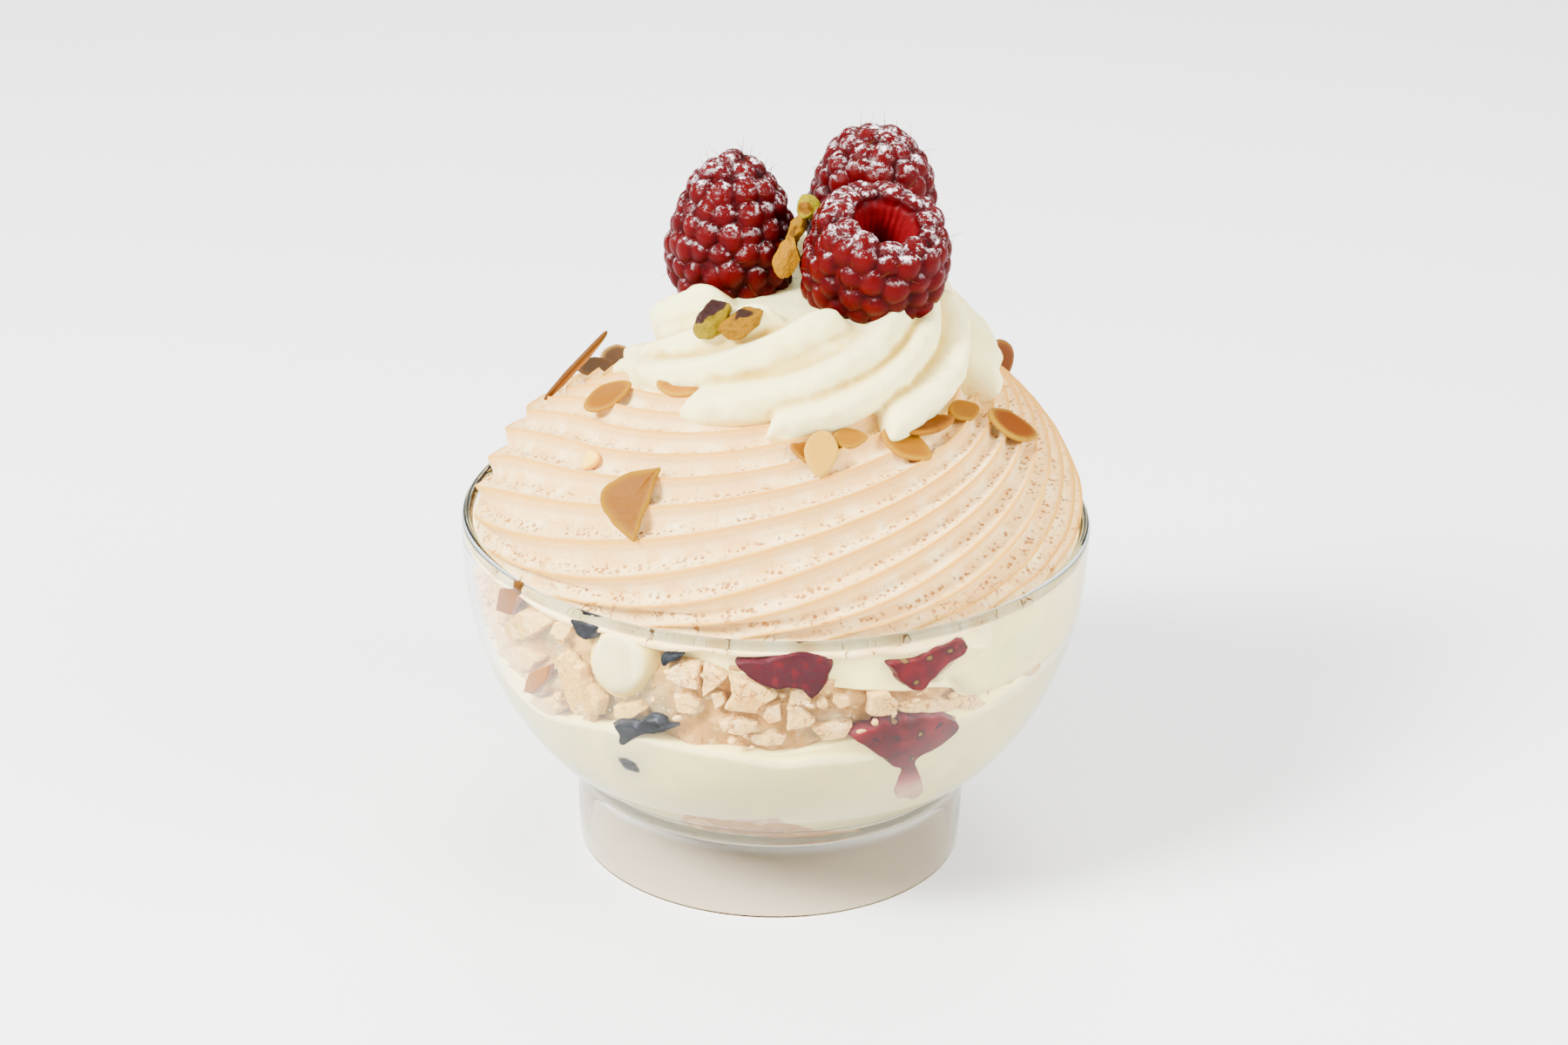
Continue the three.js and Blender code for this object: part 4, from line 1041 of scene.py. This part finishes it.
def skirt_rings(azimuth, place):
    """The rounded lower border, a lobe to each ridge, seen through the bowl."""
    level = DOME_BOTTOM(azimuth) - 0.9 * np.abs(np.sin(np.pi * place)) ** 0.7 + 0.6
    profile = ((26.0, 2.5, 59.3), (44.0, 1.6, 59.3), (49.5, 0.4, 59.3), (51.4, 0.0, 59.3),
               (52.3, 0.3, 59.3), (52.2, 1.2, 59.7))
    return np.array([polar(r, azimuth, np.minimum(level + rise, top)) for r, rise, top in profile])


def meringue_dome(material):
    """One piped swirl whose sharp ridges climb counter-clockwise."""
    columns = RIDGES * RIDGE_SAMPLES
    place = np.arange(columns)[None, :] / RIDGE_SAMPLES
    z = dome_rows()[:, None]
    azimuth = ridge_azimuth(place, z)
    normal_r, normal_z = crest_normal(z)
    fade = smooth((z - 60.5) / 3.0)
    depth = mix(2.6, 1.9, np.clip((z - 62) / 26, 0, 1)) * fade
    phase = place % 1.0 + 0 * z
    valley = np.sin(np.pi * phase ** 1.22)
    base = polar(crest_radius(z), azimuth, z)
    sink = depth * valley ** 0.9 + 0.16 * rough(base, 6.0, 2) + 0.05 * rough(base, 1.1, 6)
    rings = polar(crest_radius(z) - sink * normal_r, azimuth, z - sink * normal_z - dome_sag(azimuth, z))
    rings = rings + dome_centre(z)
    skirt = skirt_rings(azimuth[0], place[0])
    top = rings[-1].mean(axis=0)
    body = closed_stack(np.concatenate([skirt, rings]), [0, 0, 59.5], top - [0, 0, 0.3])
    # each fact over the ridges, and its value on the skirt
    facts = {
        "valley": (mix(0.6, valley, smooth((z - NECK_Z) / 1.4)), 0.6),
        # where the painted shade just under each crest lies
        "under": (np.exp(-((phase - 0.17) / 0.13) ** 2), 0.0),
        "porous": (np.exp(-((phase - 0.74) / 0.15) ** 2) * fade, 0.0),
        "low": (smooth((68 - z) / 5) + 0 * phase, 1.0),
    }
    for key, (over, below) in facts.items():
        edge = np.full((len(skirt), columns), below)
        facts[key] = np.append(np.concatenate([edge, over]).ravel(), [below, 1.0])
    Bodies().add(body, **facts).piece("dome", material, ["meringue_dome"], "meringue")


# ---- almond flakes

# azimuth, height, length, width, break, spin, pitch, lean, lift, middle colour, rim colour
FLAKES = [
    (-118, 79.4, 17.2, 12.8, 0.0, -180, 0, 0, 0.2, "#704200", "#886006"),
    (-148, 88.7, 8.8, 4.6, -1, 69, 0, 24, 0.6, "#7a4900", "#986b08"),
    (171, 88.2, 16.5, 5.4, -1, 97, 18, -13, 2.9, "#94693a", "#5e3c1c"),
    (144, 87.3, 6.5, 5.0, -1, 134, -19, 83, 0.3, "#463323", "#98763f"),
    (150, 85.8, 7.0, 3.4, -1, 136, -24, 75, 0.3, "#3b2c1f", "#4c3824"),
    (-129, 92.2, 9.0, 5.0, -1, 5, 0, 0, 0.2, "#a16604", "#a7770c"),
    (-139, 82.3, 4.4, 3.8, -0.3, 30, 0, 0, -0.8, "#fac94f", "#e9b135"),
    (-80, 87.0, 8.9, 5.6, -1, -103, 0, 0, 0.4, "#bc8a24", "#b88e30"),
    (-84, 88.0, 6.4, 4.4, -0.3, -78, 0, 0, -0.3, "#764400", "#8c5e04"),
    (-71, 88.6, 6.0, 4.0, -1, -1, 0, 0, -0.3, "#875602", "#986e0c"),
    (-56, 87.0, 9.0, 6.0, -1, -50, 0, 0, -0.2, "#814f01", "#9b6e08"),
    (-47, 88.0, 10.8, 4.8, -1, -3, 0, -22, 0.7, "#633200", "#865302"),
    (-30, 88.0, 7.5, 4.4, -1, -12, 0, 0, -0.2, "#7d4c02", "#926508"),
    (-20, 83.7, 11.8, 6.6, -1, -46, 0, 0, 0.4, "#663000", "#987010"),
    (23, 83.8, 7.5, 6.0, -1, -90, -34, 81, 0.6, "#5c3219", "#7b5023"),
    (48, 84.0, 11.0, 6.0, -1, 35, 0, 0, 0.1, "#8e5902", "#a4770e"),
    (78, 88.6, 9.0, 5.0, -1, -20, 0, 0, 0.1, "#946604", "#a77d0c"),
    (96, 76.5, 13.0, 9.0, -0.1, 120, 0, 0, 0.1, "#945d02", "#aa8010"),
    (120, 85.2, 10.0, 5.0, -1, 64, 0, 20, 0.4, "#8a5902", "#a1740c"),
]


def dome_frame(azimuth, z, lift):
    """Axes along the azimuth, up the slope and out of the dome, and the place itself."""
    normal_r, normal_z = crest_normal(z)
    out = polar(normal_r, azimuth, normal_z)
    along = polar(1.0, azimuth + 90, 0.0)
    at = polar(crest_radius(z), azimuth, z - dome_sag(azimuth, z)) + dome_centre(z) + out * lift
    return np.array([along, np.cross(out, along), out]), at


def level_points(flat):
    """Points at height 0 from points in the plane."""
    return np.column_stack([flat, flat[:, 0] * 0])


def flake_slab(length, width, break_at, seed):
    """A thin sliced almond lying in X and Y, with how near each point is to its rim."""
    a = np.arange(FLAKE_COLUMNS) * 2 * np.pi / FLAKE_COLUMNS
    pointed = 1 - 0.3 * np.maximum(0, np.cos(a))
    loop = np.column_stack([np.cos(a) * length / 2, np.sin(a) * pointed * width / 2])
    loop = loop * (1 + 0.05 * rough(level_points(loop) + seed * 9, 3.0, seed))[:, None]
    if break_at > -1:
        torn = break_at * length / 2 + 0.25 * rough(level_points(loop), 1.0, seed)
        loop[:, 0] = np.maximum(loop[:, 0], torn)
    centre = loop.mean(axis=0)
    shares = np.array([0.2, 0.45, 0.65, 0.8, 0.9, 0.96, 0.99])
    rim = np.concatenate([shares, [1.0], shares[::-1]])
    side = np.concatenate([-np.ones(len(shares)), [0.0], np.ones(len(shares))])
    half = FLAKE_THICKNESS / 2
    rings = []
    for share, sign in zip(rim, side):
        flat = centre + (loop - centre) * share
        dish = 0.25 * (share ** 2 - 0.5) + 0.12 * rough(level_points(flat) + seed, 4.0, seed)
        rings.append(np.column_stack([flat, sign * half * (1 - share ** 8) ** 0.5 + dish]))
    middle = np.array([*centre, -0.12])
    points, faces = closed_stack(np.array(rings), middle - [0, 0, half], middle + [0, 0, half])
    return points, faces, np.concatenate([np.repeat(rim, FLAKE_COLUMNS), [0, 0]])


def turned(points, spin, pitch, lean):
    turn = Matrix.Rotation(math.radians(spin), 3, "Z")
    turn = turn @ Matrix.Rotation(math.radians(-pitch), 3, "Y")
    turn = turn @ Matrix.Rotation(math.radians(lean), 3, "X")
    return points @ np.array(turn).T


def two_tints(low, high, share):
    return mix(np.array(rgb(low)), np.array(rgb(high)), share[:, None])


def almond_flakes(material):
    """Toasted flakes on the dome, a colour to each."""
    bodies = Bodies()
    for rank, (azimuth, z, length, width, break_at, *turns, lift, middle, border) in enumerate(FLAKES):
        points, faces, rim = flake_slab(length, width, break_at, rank)
        axes, at = dome_frame(azimuth, z, lift)
        tint = two_tints(middle, border, smooth((rim - 0.72) / 0.24))
        bodies.add((turned(points, *turns) @ axes + at, faces), tint=tint)
    bodies.piece("almond_flakes", material, [], "meringue")


def wall_almonds(material):
    """The two pieces of almond that show through the side of the bowl."""
    bodies = Bodies()
    seen = [("606,792 612,770 636,760 634,774 628,783 618,795", -0.15, "#8c5400"),
            ("574,700 578,674 600,673 598,690 592,706", 0.1, "#74440a")]
    for rank, (corners, off, colour) in enumerate(seen):
        body = pressed(on_wall(corners), 2.0, 0.2 - off, 0.6, rounded=False, seed=rank, ragged=0.03)
        bodies.add(body, tint=rgb(colour))
    bodies.piece("wall_almonds", material, [], "meringue")


# ---- cream rosette


def rib_crest(nose, s):
    """Crest of a rib and the way it points, s from 0 at its nose to 1 under the fruit."""
    azimuth = nose + ROSETTE["wrap"] * s
    climb = np.clip(s, 0, 1)
    radius = ROSETTE["radius"] + 1.8 * (1 - climb) ** 4 - 15 * climb ** 1.8
    low = ROSETTE_FOOT_Z + 1.4 * math.cos(math.radians(nose - 130)) - dome_sag(nose, ROSETTE_FOOT_Z)
    z = mix(low, ROSETTE["top"], np.minimum(climb / 0.82, 1.0) ** 1.15)
    z = z - 5.5 * smooth((climb - 0.74) / 0.26)
    at = polar(radius, azimuth, z) + [ROSETTE["x"], ROSETTE["y"], 0]
    tilt = np.radians(mix(-4, 62, climb ** 1.4))
    return at, polar(np.cos(tilt), azimuth, np.sin(tilt))


# Outline across a rib: out from its middle, and up, as shares of the reach and half thickness.
RIB_OUTLINE = [
    (1.0, -0.5), (0.97, -0.15), (0.9, 0.2), (0.76, 0.55), (0.52, 0.85), (0.2, 1.05), (-0.2, 1.1), (-0.7, 0.8),
    (-1.0, 0.0), (-0.7, -0.8), (-0.2, -1.05), (0.3, -1.0), (0.62, -0.9), (0.85, -0.8), (0.96, -0.68),
]


def rib_body(index):
    """One fin-like rib from a star nozzle, blunt at its nose and sharp along its crest."""
    nose = RIB_NOSES[index]
    outline = closed_curve(RIB_OUTLINE, RIB_COLUMNS, False)
    s = np.linspace(0.0, 1.0, RIB_STEPS) ** 1.15 * 1.02 - 0.02
    at, out = rib_crest(nose, s)
    ahead = rib_crest(nose, s + 0.01)[0] - rib_crest(nose, s - 0.01)[0]
    up = unit(np.cross(unit(ahead), out))
    share = np.clip((s + 0.02) / 0.075, 0, 1)
    grown = np.sqrt(share * (2 - share)) * (1 - 0.55 * smooth((s - 0.72) / 0.28))
    middle = at - out * RIB_REACH * grown[:, None]
    half = mix(4.7, 3.7, smooth(s / 0.3)) * grown
    rings = (middle[:, None] + out[:, None] * (outline[None, :, :1] * (RIB_REACH * grown)[:, None, None])
             + up[:, None] * (outline[None, :, 1:] * half[:, None, None]))
    tip = smooth((outline[:, 0] - 0.55) / 0.45)[None, :]
    ruffle = 0.9 * rough(rings * [1, 1, 0.6], 3.8, index + 4) + 0.5 * rough(rings, 1.5, index + 30)
    rings = rings + out[:, None] * (ruffle * tip)[..., None]
    return closed_stack(rings, at[0] - out[0] * RIB_REACH * 0.6, middle[-1])


def mound_body():
    """The heap of cream that the ribs lie round."""
    centre = np.array([ROSETTE["x"], ROSETTE["y"], 0])
    azimuth = np.arange(64) * 360 / 64
    profile = [(10, 82), (22, 82), (26, 92), (25, 97), (22, 101), (17, 102.8), (10, 103.2)]
    rings = np.array([polar(r, azimuth, z) + centre for r, z in profile])
    return closed_stack(rings, centre + [0, 0, 82], centre + [0, 0, 103.2])


def remeshed(points, faces):
    """One skin over bodies that run into each other: its points, faces and edges."""
    mesh = new_mesh("heap", points, faces)
    heap = new_object("heap", mesh)
    skin = heap.modifiers.new("skin", "REMESH")
    skin.mode = "VOXEL"
    skin.voxel_size = CREAM_VOXEL * MM
    joined = bpy.data.meshes.new_from_object(heap.evaluated_get(bpy.context.evaluated_depsgraph_get()))
    flat = np.empty(len(joined.vertices) * 3)
    joined.vertices.foreach_get("co", flat)
    edges = np.empty(len(joined.edges) * 2, int)
    joined.edges.foreach_get("vertices", edges)
    found = flat.reshape(-1, 3) / MM, [list(p.vertices) for p in joined.polygons], edges.reshape(-1, 2)
    bpy.data.objects.remove(heap)
    bpy.data.meshes.remove(mesh)
    bpy.data.meshes.remove(joined)
    return found


def relaxed(points, edges, rounds):
    """Each point moved towards the mean of its neighbours."""
    both = np.concatenate([edges, edges[:, ::-1]])
    count = np.bincount(both[:, 0], minlength=len(points))[:, None]
    for _ in range(rounds):
        total = [np.bincount(both[:, 0], points[both[:, 1], k], len(points)) for k in range(3)]
        points = mix(points, np.column_stack(total) / count, 0.6)
    return points


def fold_depth(points, edges):
    """How deep in a crease each point lies, from 0 on crests to 1."""
    inwards = relaxed(points, edges, 40) - points
    away = points - [ROSETTE["x"], ROSETTE["y"], 88]
    return np.clip(0.9 * np.sum(inwards * unit(away), axis=1) + 0.3, 0, 1)


def cream_rosette(material):
    """The piped rosette; what it returns finds where a line of sight meets the cream."""
    heap = Bodies().add(mound_body())
    for index in range(len(RIB_NOSES)):
        heap.add(rib_body(index))
    points, faces, edges = remeshed(np.concatenate(heap.points), heap.faces)
    points = relaxed(points, edges, 2)
    # how deep each point lies in a crease, for the cream's painted shade
    fold = fold_depth(points, edges)
    rosette = Bodies().add((points, faces), fold=fold)
    rosette.piece("rosette", material, ["cream_rosette"], "whipped_cream")
    return BVHTree.FromPolygons(points.tolist(), faces)


# ---- pistachio

# the two ends in the picture, width, thickness, depth where it stands free, colours, share of skin
NUTS = [
    ((801, 386), (846, 350), 6.6, 5.6, None, "#766200", "#2a1614", 0.3),
    ((824, 382), (881, 366), 5.4, 4.2, None, "#7c5400", "#2c1a12", 0.08),
    ((895, 318), (914, 272), 4.4, 3.8, -8.5, "#8c5e00", "#7a4d05", 0.06),
    ((908, 280), (922, 244), 3.4, 3.0, -6.5, "#805800", "#5b3a09", 0.06),
    ((918, 250), (936, 226), 4.6, 4.0, -5.0, "#7c7000", "#6b4408", 0.15),
]


def sight(pixel, y):
    """Place on the line of sight through the picture, at a depth."""
    ray = photo_ray(*pixel)
    return np.array(CAMERA_AT) + ray * (y - CAMERA_AT[1]) / ray[1]


def pistachios(material, cream):
    """Chopped kernels: two on the cream and a chain of pieces wedged between the fruit."""
    bodies = Bodies()
    for rank, (low, high, width, thick, depth, flesh, skin, share) in enumerate(NUTS):
        out = np.array([0.0, -1.0, 0.2])
        if depth is None:
            middle = (np.array(low) + high) / 2
            place, normal = cream.ray_cast(Vector(CAMERA_AT), Vector(photo_ray(*middle)))[:2]
            depth = place.y
            out = unit(np.array(normal) + [0, 0, 1.2])
        start = sight(low, depth)
        end = sight(high, depth)
        axis = unit(end - start)
        side = unit(np.cross(out, axis))
        out = np.cross(axis, side)
        normals = np.random.default_rng(rank + 60).normal(size=(12, 3))
        _, points, faces = chopped(5, normals, 0.66, 0.96)
        points = points / 2
        upper = unit(points) @ [0.1, 0.25, 0.95] + 0.35 * rough(points * 6 + rank * 5, 2.0, rank)
        points = points * [np.linalg.norm(end - start) * 1.08, width * 1.08, thick * 1.08]
        points = points + (0.25 * rough(points + rank * 9, 1.3, rank + 2))[:, None] * unit(points)
        points = points @ np.array([axis, side, out]) + (start + end) / 2 + out * thick * 0.18
        covered = smooth((upper - (0.95 - 2 * share)) / 0.12)
        bodies.add((points, faces), tint=two_tints(flesh, skin, covered))
    bodies.piece("pistachios", material, [], "whipped_cream")


# ---- raspberries

# Shoulder height, power and root of the outline.
BLUNT = (0.34, 2.3, 2.0)
CONICAL = (0.28, 2.0, 1.6)
# centre of the stalk end, axis towards the tip, radius, height, form, drupelets round, hollow
RASPBERRIES = {
    "raspberry_left": ((-8.5, 0.5, 100.6), (0, 0.04, 1), 10.5, 24.2, CONICAL, 17, False),
    "raspberry_back": ((14.4, 13.4, 102.4), (0.06, -0.1, 1), 10.6, 24.0, BLUNT, 16, False),
    "raspberry_front": ((16.9, -12.2, 118.6), (-0.16, 0.34, -0.93), 11.5, 23.6, BLUNT, 17, True),
}
# Radius and height of the stalk end, from its middle to its rim, as shares of the berry's.
HOLLOW_END = [(0.02, 0.6), (0.1, 0.58), (0.19, 0.46), (0.25, 0.3), (0.3, 0.16), (0.37, 0.05), (0.48, -0.01),
              (0.64, -0.01)]
FLAT_END = [(0.02, 0.05), (0.3, 0.03), (0.55, 0.02), (0.7, 0.02)]
STYLES = 60


def raspberry_radius(form, u):
    shoulder, power, root = form
    low = 0.82 + 0.18 * np.sin(np.pi / 2 * np.clip(u, 0, shoulder) / shoulder)
    high = (1 - np.clip((u - shoulder) / (1.01 - shoulder), 0, 1) ** power) ** (1 / root)
    return np.where(u < shoulder, low, high)


def raspberry_outline(radius, height, form, hollow):
    """Radius and height along the skin, from the middle of the stalk end to the tip."""
    start = HOLLOW_END if hollow else FLAT_END
    u = np.linspace(0.03, 0.995, 60)
    r = np.concatenate([[p[0] for p in start], raspberry_radius(form, u)]) * radius
    z = np.concatenate([[p[1] for p in start], u]) * height
    travel = travelled(r, z)
    even = np.linspace(0, travel[-1], 190)
    line = np.column_stack([np.interp(even, travel, r), np.interp(even, travel, z)])
    for _ in range(6):
        line[1:-1] = (line[:-2] + line[1:-1] * 2 + line[2:]) / 4
    return line, even, travel[len(start) - 1]


def drupelet_centres(line, even, rim, around, random):
    """Places in staggered, slightly irregular rows from the rim of the stalk end to the tip."""
    width = 2 * math.pi * line[:, 0].max() / around
    rows = round((even[-1] - rim) / (width * 0.88))
    centres = []
    for row in range(rows + 1):
        at = mix(rim, even[-1], row / rows)
        r = np.interp(at, even, line[:, 0])
        count = max(1, min(around, round(2 * math.pi * r / (width * 0.96))))
        start = random.uniform(0, 360) if count < around else 180 / around * (row % 2)
        for k in range(count):
            azimuth = start + k * 360 / count + random.uniform(-0.2, 0.2) * 360 / count
            z = np.interp(at + random.uniform(-0.2, 0.2) * width, even, line[:, 1])
            centres.append(polar(r, azimuth, z))
    return np.array(centres), width


def raspberry(name, material):
    """Crowded round drupelets with sharp creases, and dry styles between them."""
    at, axis, radius, height, form, around, hollow = RASPBERRIES[name]
    random = np.random.default_rng(len(name) * 7)
    turn = np.array(Vector((0, 0, 1)).rotation_difference(Vector(axis).normalized()).to_matrix())
    line, even, rim = raspberry_outline(radius, height, form, hollow)
    centres, width = drupelet_centres(line, even, rim, around, random)
    azimuth = np.arange(BERRY_COLUMNS) * 360 / BERRY_COLUMNS
    skin = polar(line[:, :1], azimuth, line[:, 1:])
    along = unit(np.gradient(line, axis=0))
    out = polar(along[:, 1:], azimuth, -along[:, :1])
    shifted = skin + 0.34 * np.stack([noise(skin, 2.6, k) for k in (1, 2, 3)], axis=-1)
    gaps = np.linalg.norm(shifted[:, :, None] - centres, axis=-1)
    size = random.uniform(0.9, 1.12, len(centres))
    swell = np.sqrt(np.maximum((0.7 * width * size) ** 2 - gaps ** 2, 0.01)).max(axis=-1)
    bulge = np.clip((swell - 0.34 * width) / (0.36 * width), 0, 1.2)
    inner = smooth((rim - 1.6 - even) / 2.5) if hollow else 0 * even
    pleats = 0.09 * inner[:, None] * np.sin(np.radians(azimuth) * 21 + noise(skin, 3.0, 8) * 2)
    lumps = 0.3 * noise(skin, 7.0, 5) + 0.05 * rough(skin, 0.9, 3)
    tip = bulge * (1 - inner)[:, None]
    skin = skin + out * (0.3 * width * tip - 0.5 + pleats + lumps)[..., None]
    points, faces = closed_stack(skin, skin[0].mean(axis=0), skin[-1].mean(axis=0))
    bodies = Bodies()
    bodies.add((points @ turn.T + at, faces), hair=0.0, tip=np.append(tip.ravel(), [0.5, 0.5]),
               inner=np.append(np.repeat(inner, BERRY_COLUMNS), [inner[0], 0.0]))
    for _ in range(STYLES):
        points, faces = raspberry_hair(line, even, rim, random)
        bodies.add((points @ turn.T + at, faces), tip=0.5, hair=1.0, inner=0.0)
    bodies.piece(name + "_fruit", material, [name], "raspberry")


def raspberry_hair(line, even, rim, random):
    """One dry style: a thin bent thread standing out between drupelets."""
    at = random.uniform(rim, even[-1])
    azimuth = random.uniform(0, 360)
    root = polar(np.interp(at, even, line[:, 0]), azimuth, np.interp(at, even, line[:, 1]))
    lift = np.interp(at, even, -np.gradient(line[:, 0], even))
    out = unit(polar(1.0 - abs(lift), azimuth, lift) + random.normal(size=3) * 0.45)
    bend = unit(random.normal(size=3))
    length = random.uniform(1.6, 3.4)
    t = np.linspace(0, 1, 6)[:, None]
    path = root + out * length * t + bend * 0.5 * t ** 2
    side = unit(np.cross(out, bend))
    a = np.radians([0, 120, 240])
    loop = (np.cos(a)[:, None] * side + np.sin(a)[:, None] * np.cross(side, out)) * 0.07
    return closed_stack(path[:, None] + loop[None] * (1 - 0.7 * t)[..., None], path[0], path[-1])


# ---- assembly


def build_bowl_and_fillings():
    glass_bowl(glass_material())
    # the second colour of each crumb material is painted shade where it stands back from the wall
    base_crumb(crumb_material("base_crumb", "#b98f60", "#a67c48", "#a8690a", "#c4bda4"))
    custard_layer(filling_material("custard", "#cbc08a", "#f2df88", "#bba407"))
    meringue_rubble(crumb_material("meringue_crumb", "#ecbd6c", "#b07f36", "#a05c05"))
    upper_cream(filling_material("pressed_cream", "#dccb90", "#fbe898", "#d3b900"))
    strawberries(strawberry_material())
    blueberries(blueberry_material())
    dollops(filling_material("cream_dollop", "#dccf98", "#d6b85c", "#d3b900", (0.04, 0.3)))


def build_dome_and_toppings():
    almond = almond_material()
    meringue_dome(meringue_material())
    almond_flakes(almond)
    wall_almonds(almond)
    pistachios(pistachio_material(), cream_rosette(cream_material()))
    berry = raspberry_material()
    for name in RASPBERRIES:
        raspberry(name, berry)


def softbox(name, at, size, power):
    light = bpy.data.lights.new(name, "AREA")
    light.energy = power
    light.size = size
    lamp = new_object(name, light)
    lamp.location = at
    lamp.rotation_mode = "QUATERNION"
    lamp.rotation_quaternion = (Vector(at) - Vector((0, 0, 0.07))).to_track_quat("Z", "Y")


def floor_and_light():
    n = Nodes("studio_floor")
    colour = n.ramp(n.noise(300.0), [(0.3, "#f7f7f6"), (0.7, "#f9f9f8")])
    half = 4000.0
    corners = [(-half, -half, 0), (half, -half, 0), (half, half, 0), (-half, half, 0)]
    mesh = new_mesh("floor", corners, [(0, 1, 2, 3)])
    mesh.materials.append(n.finish(colour, 0.9))
    floor = new_object("floor", mesh)
    world = bpy.data.worlds.new("studio")
    world.use_nodes = True
    sky = world.node_tree.nodes["Background"].inputs
    sky["Color"].default_value = (1.0, 1.0, 1.0, 1.0)
    sky["Strength"].default_value = 1.1
    bpy.context.scene.world = world
    softbox("key", (-0.6, -0.45, 0.7), 0.3, 42.0)
    softbox("fill", (0.75, -0.35, 0.5), 0.5, 16.0)
    softbox("top", (0.1, 0.5, 0.9), 0.5, 10.0)


def camera():
    data = bpy.data.cameras.new("camera")
    data.lens = LENS
    data.sensor_width = SENSOR
    data.clip_start = 0.01
    eye = new_object("camera", data)
    turn = Matrix.Rotation(math.radians(90 - CAMERA_PITCH), 4, "X")
    turn = turn @ Matrix.Rotation(math.radians(CAMERA_ROLL), 4, "Z")
    eye.matrix_world = Matrix.Translation(Vector(CAMERA_AT) * MM) @ turn
    bpy.context.scene.camera = eye


build_bowl_and_fillings()
build_dome_and_toppings()
floor_and_light()
camera()
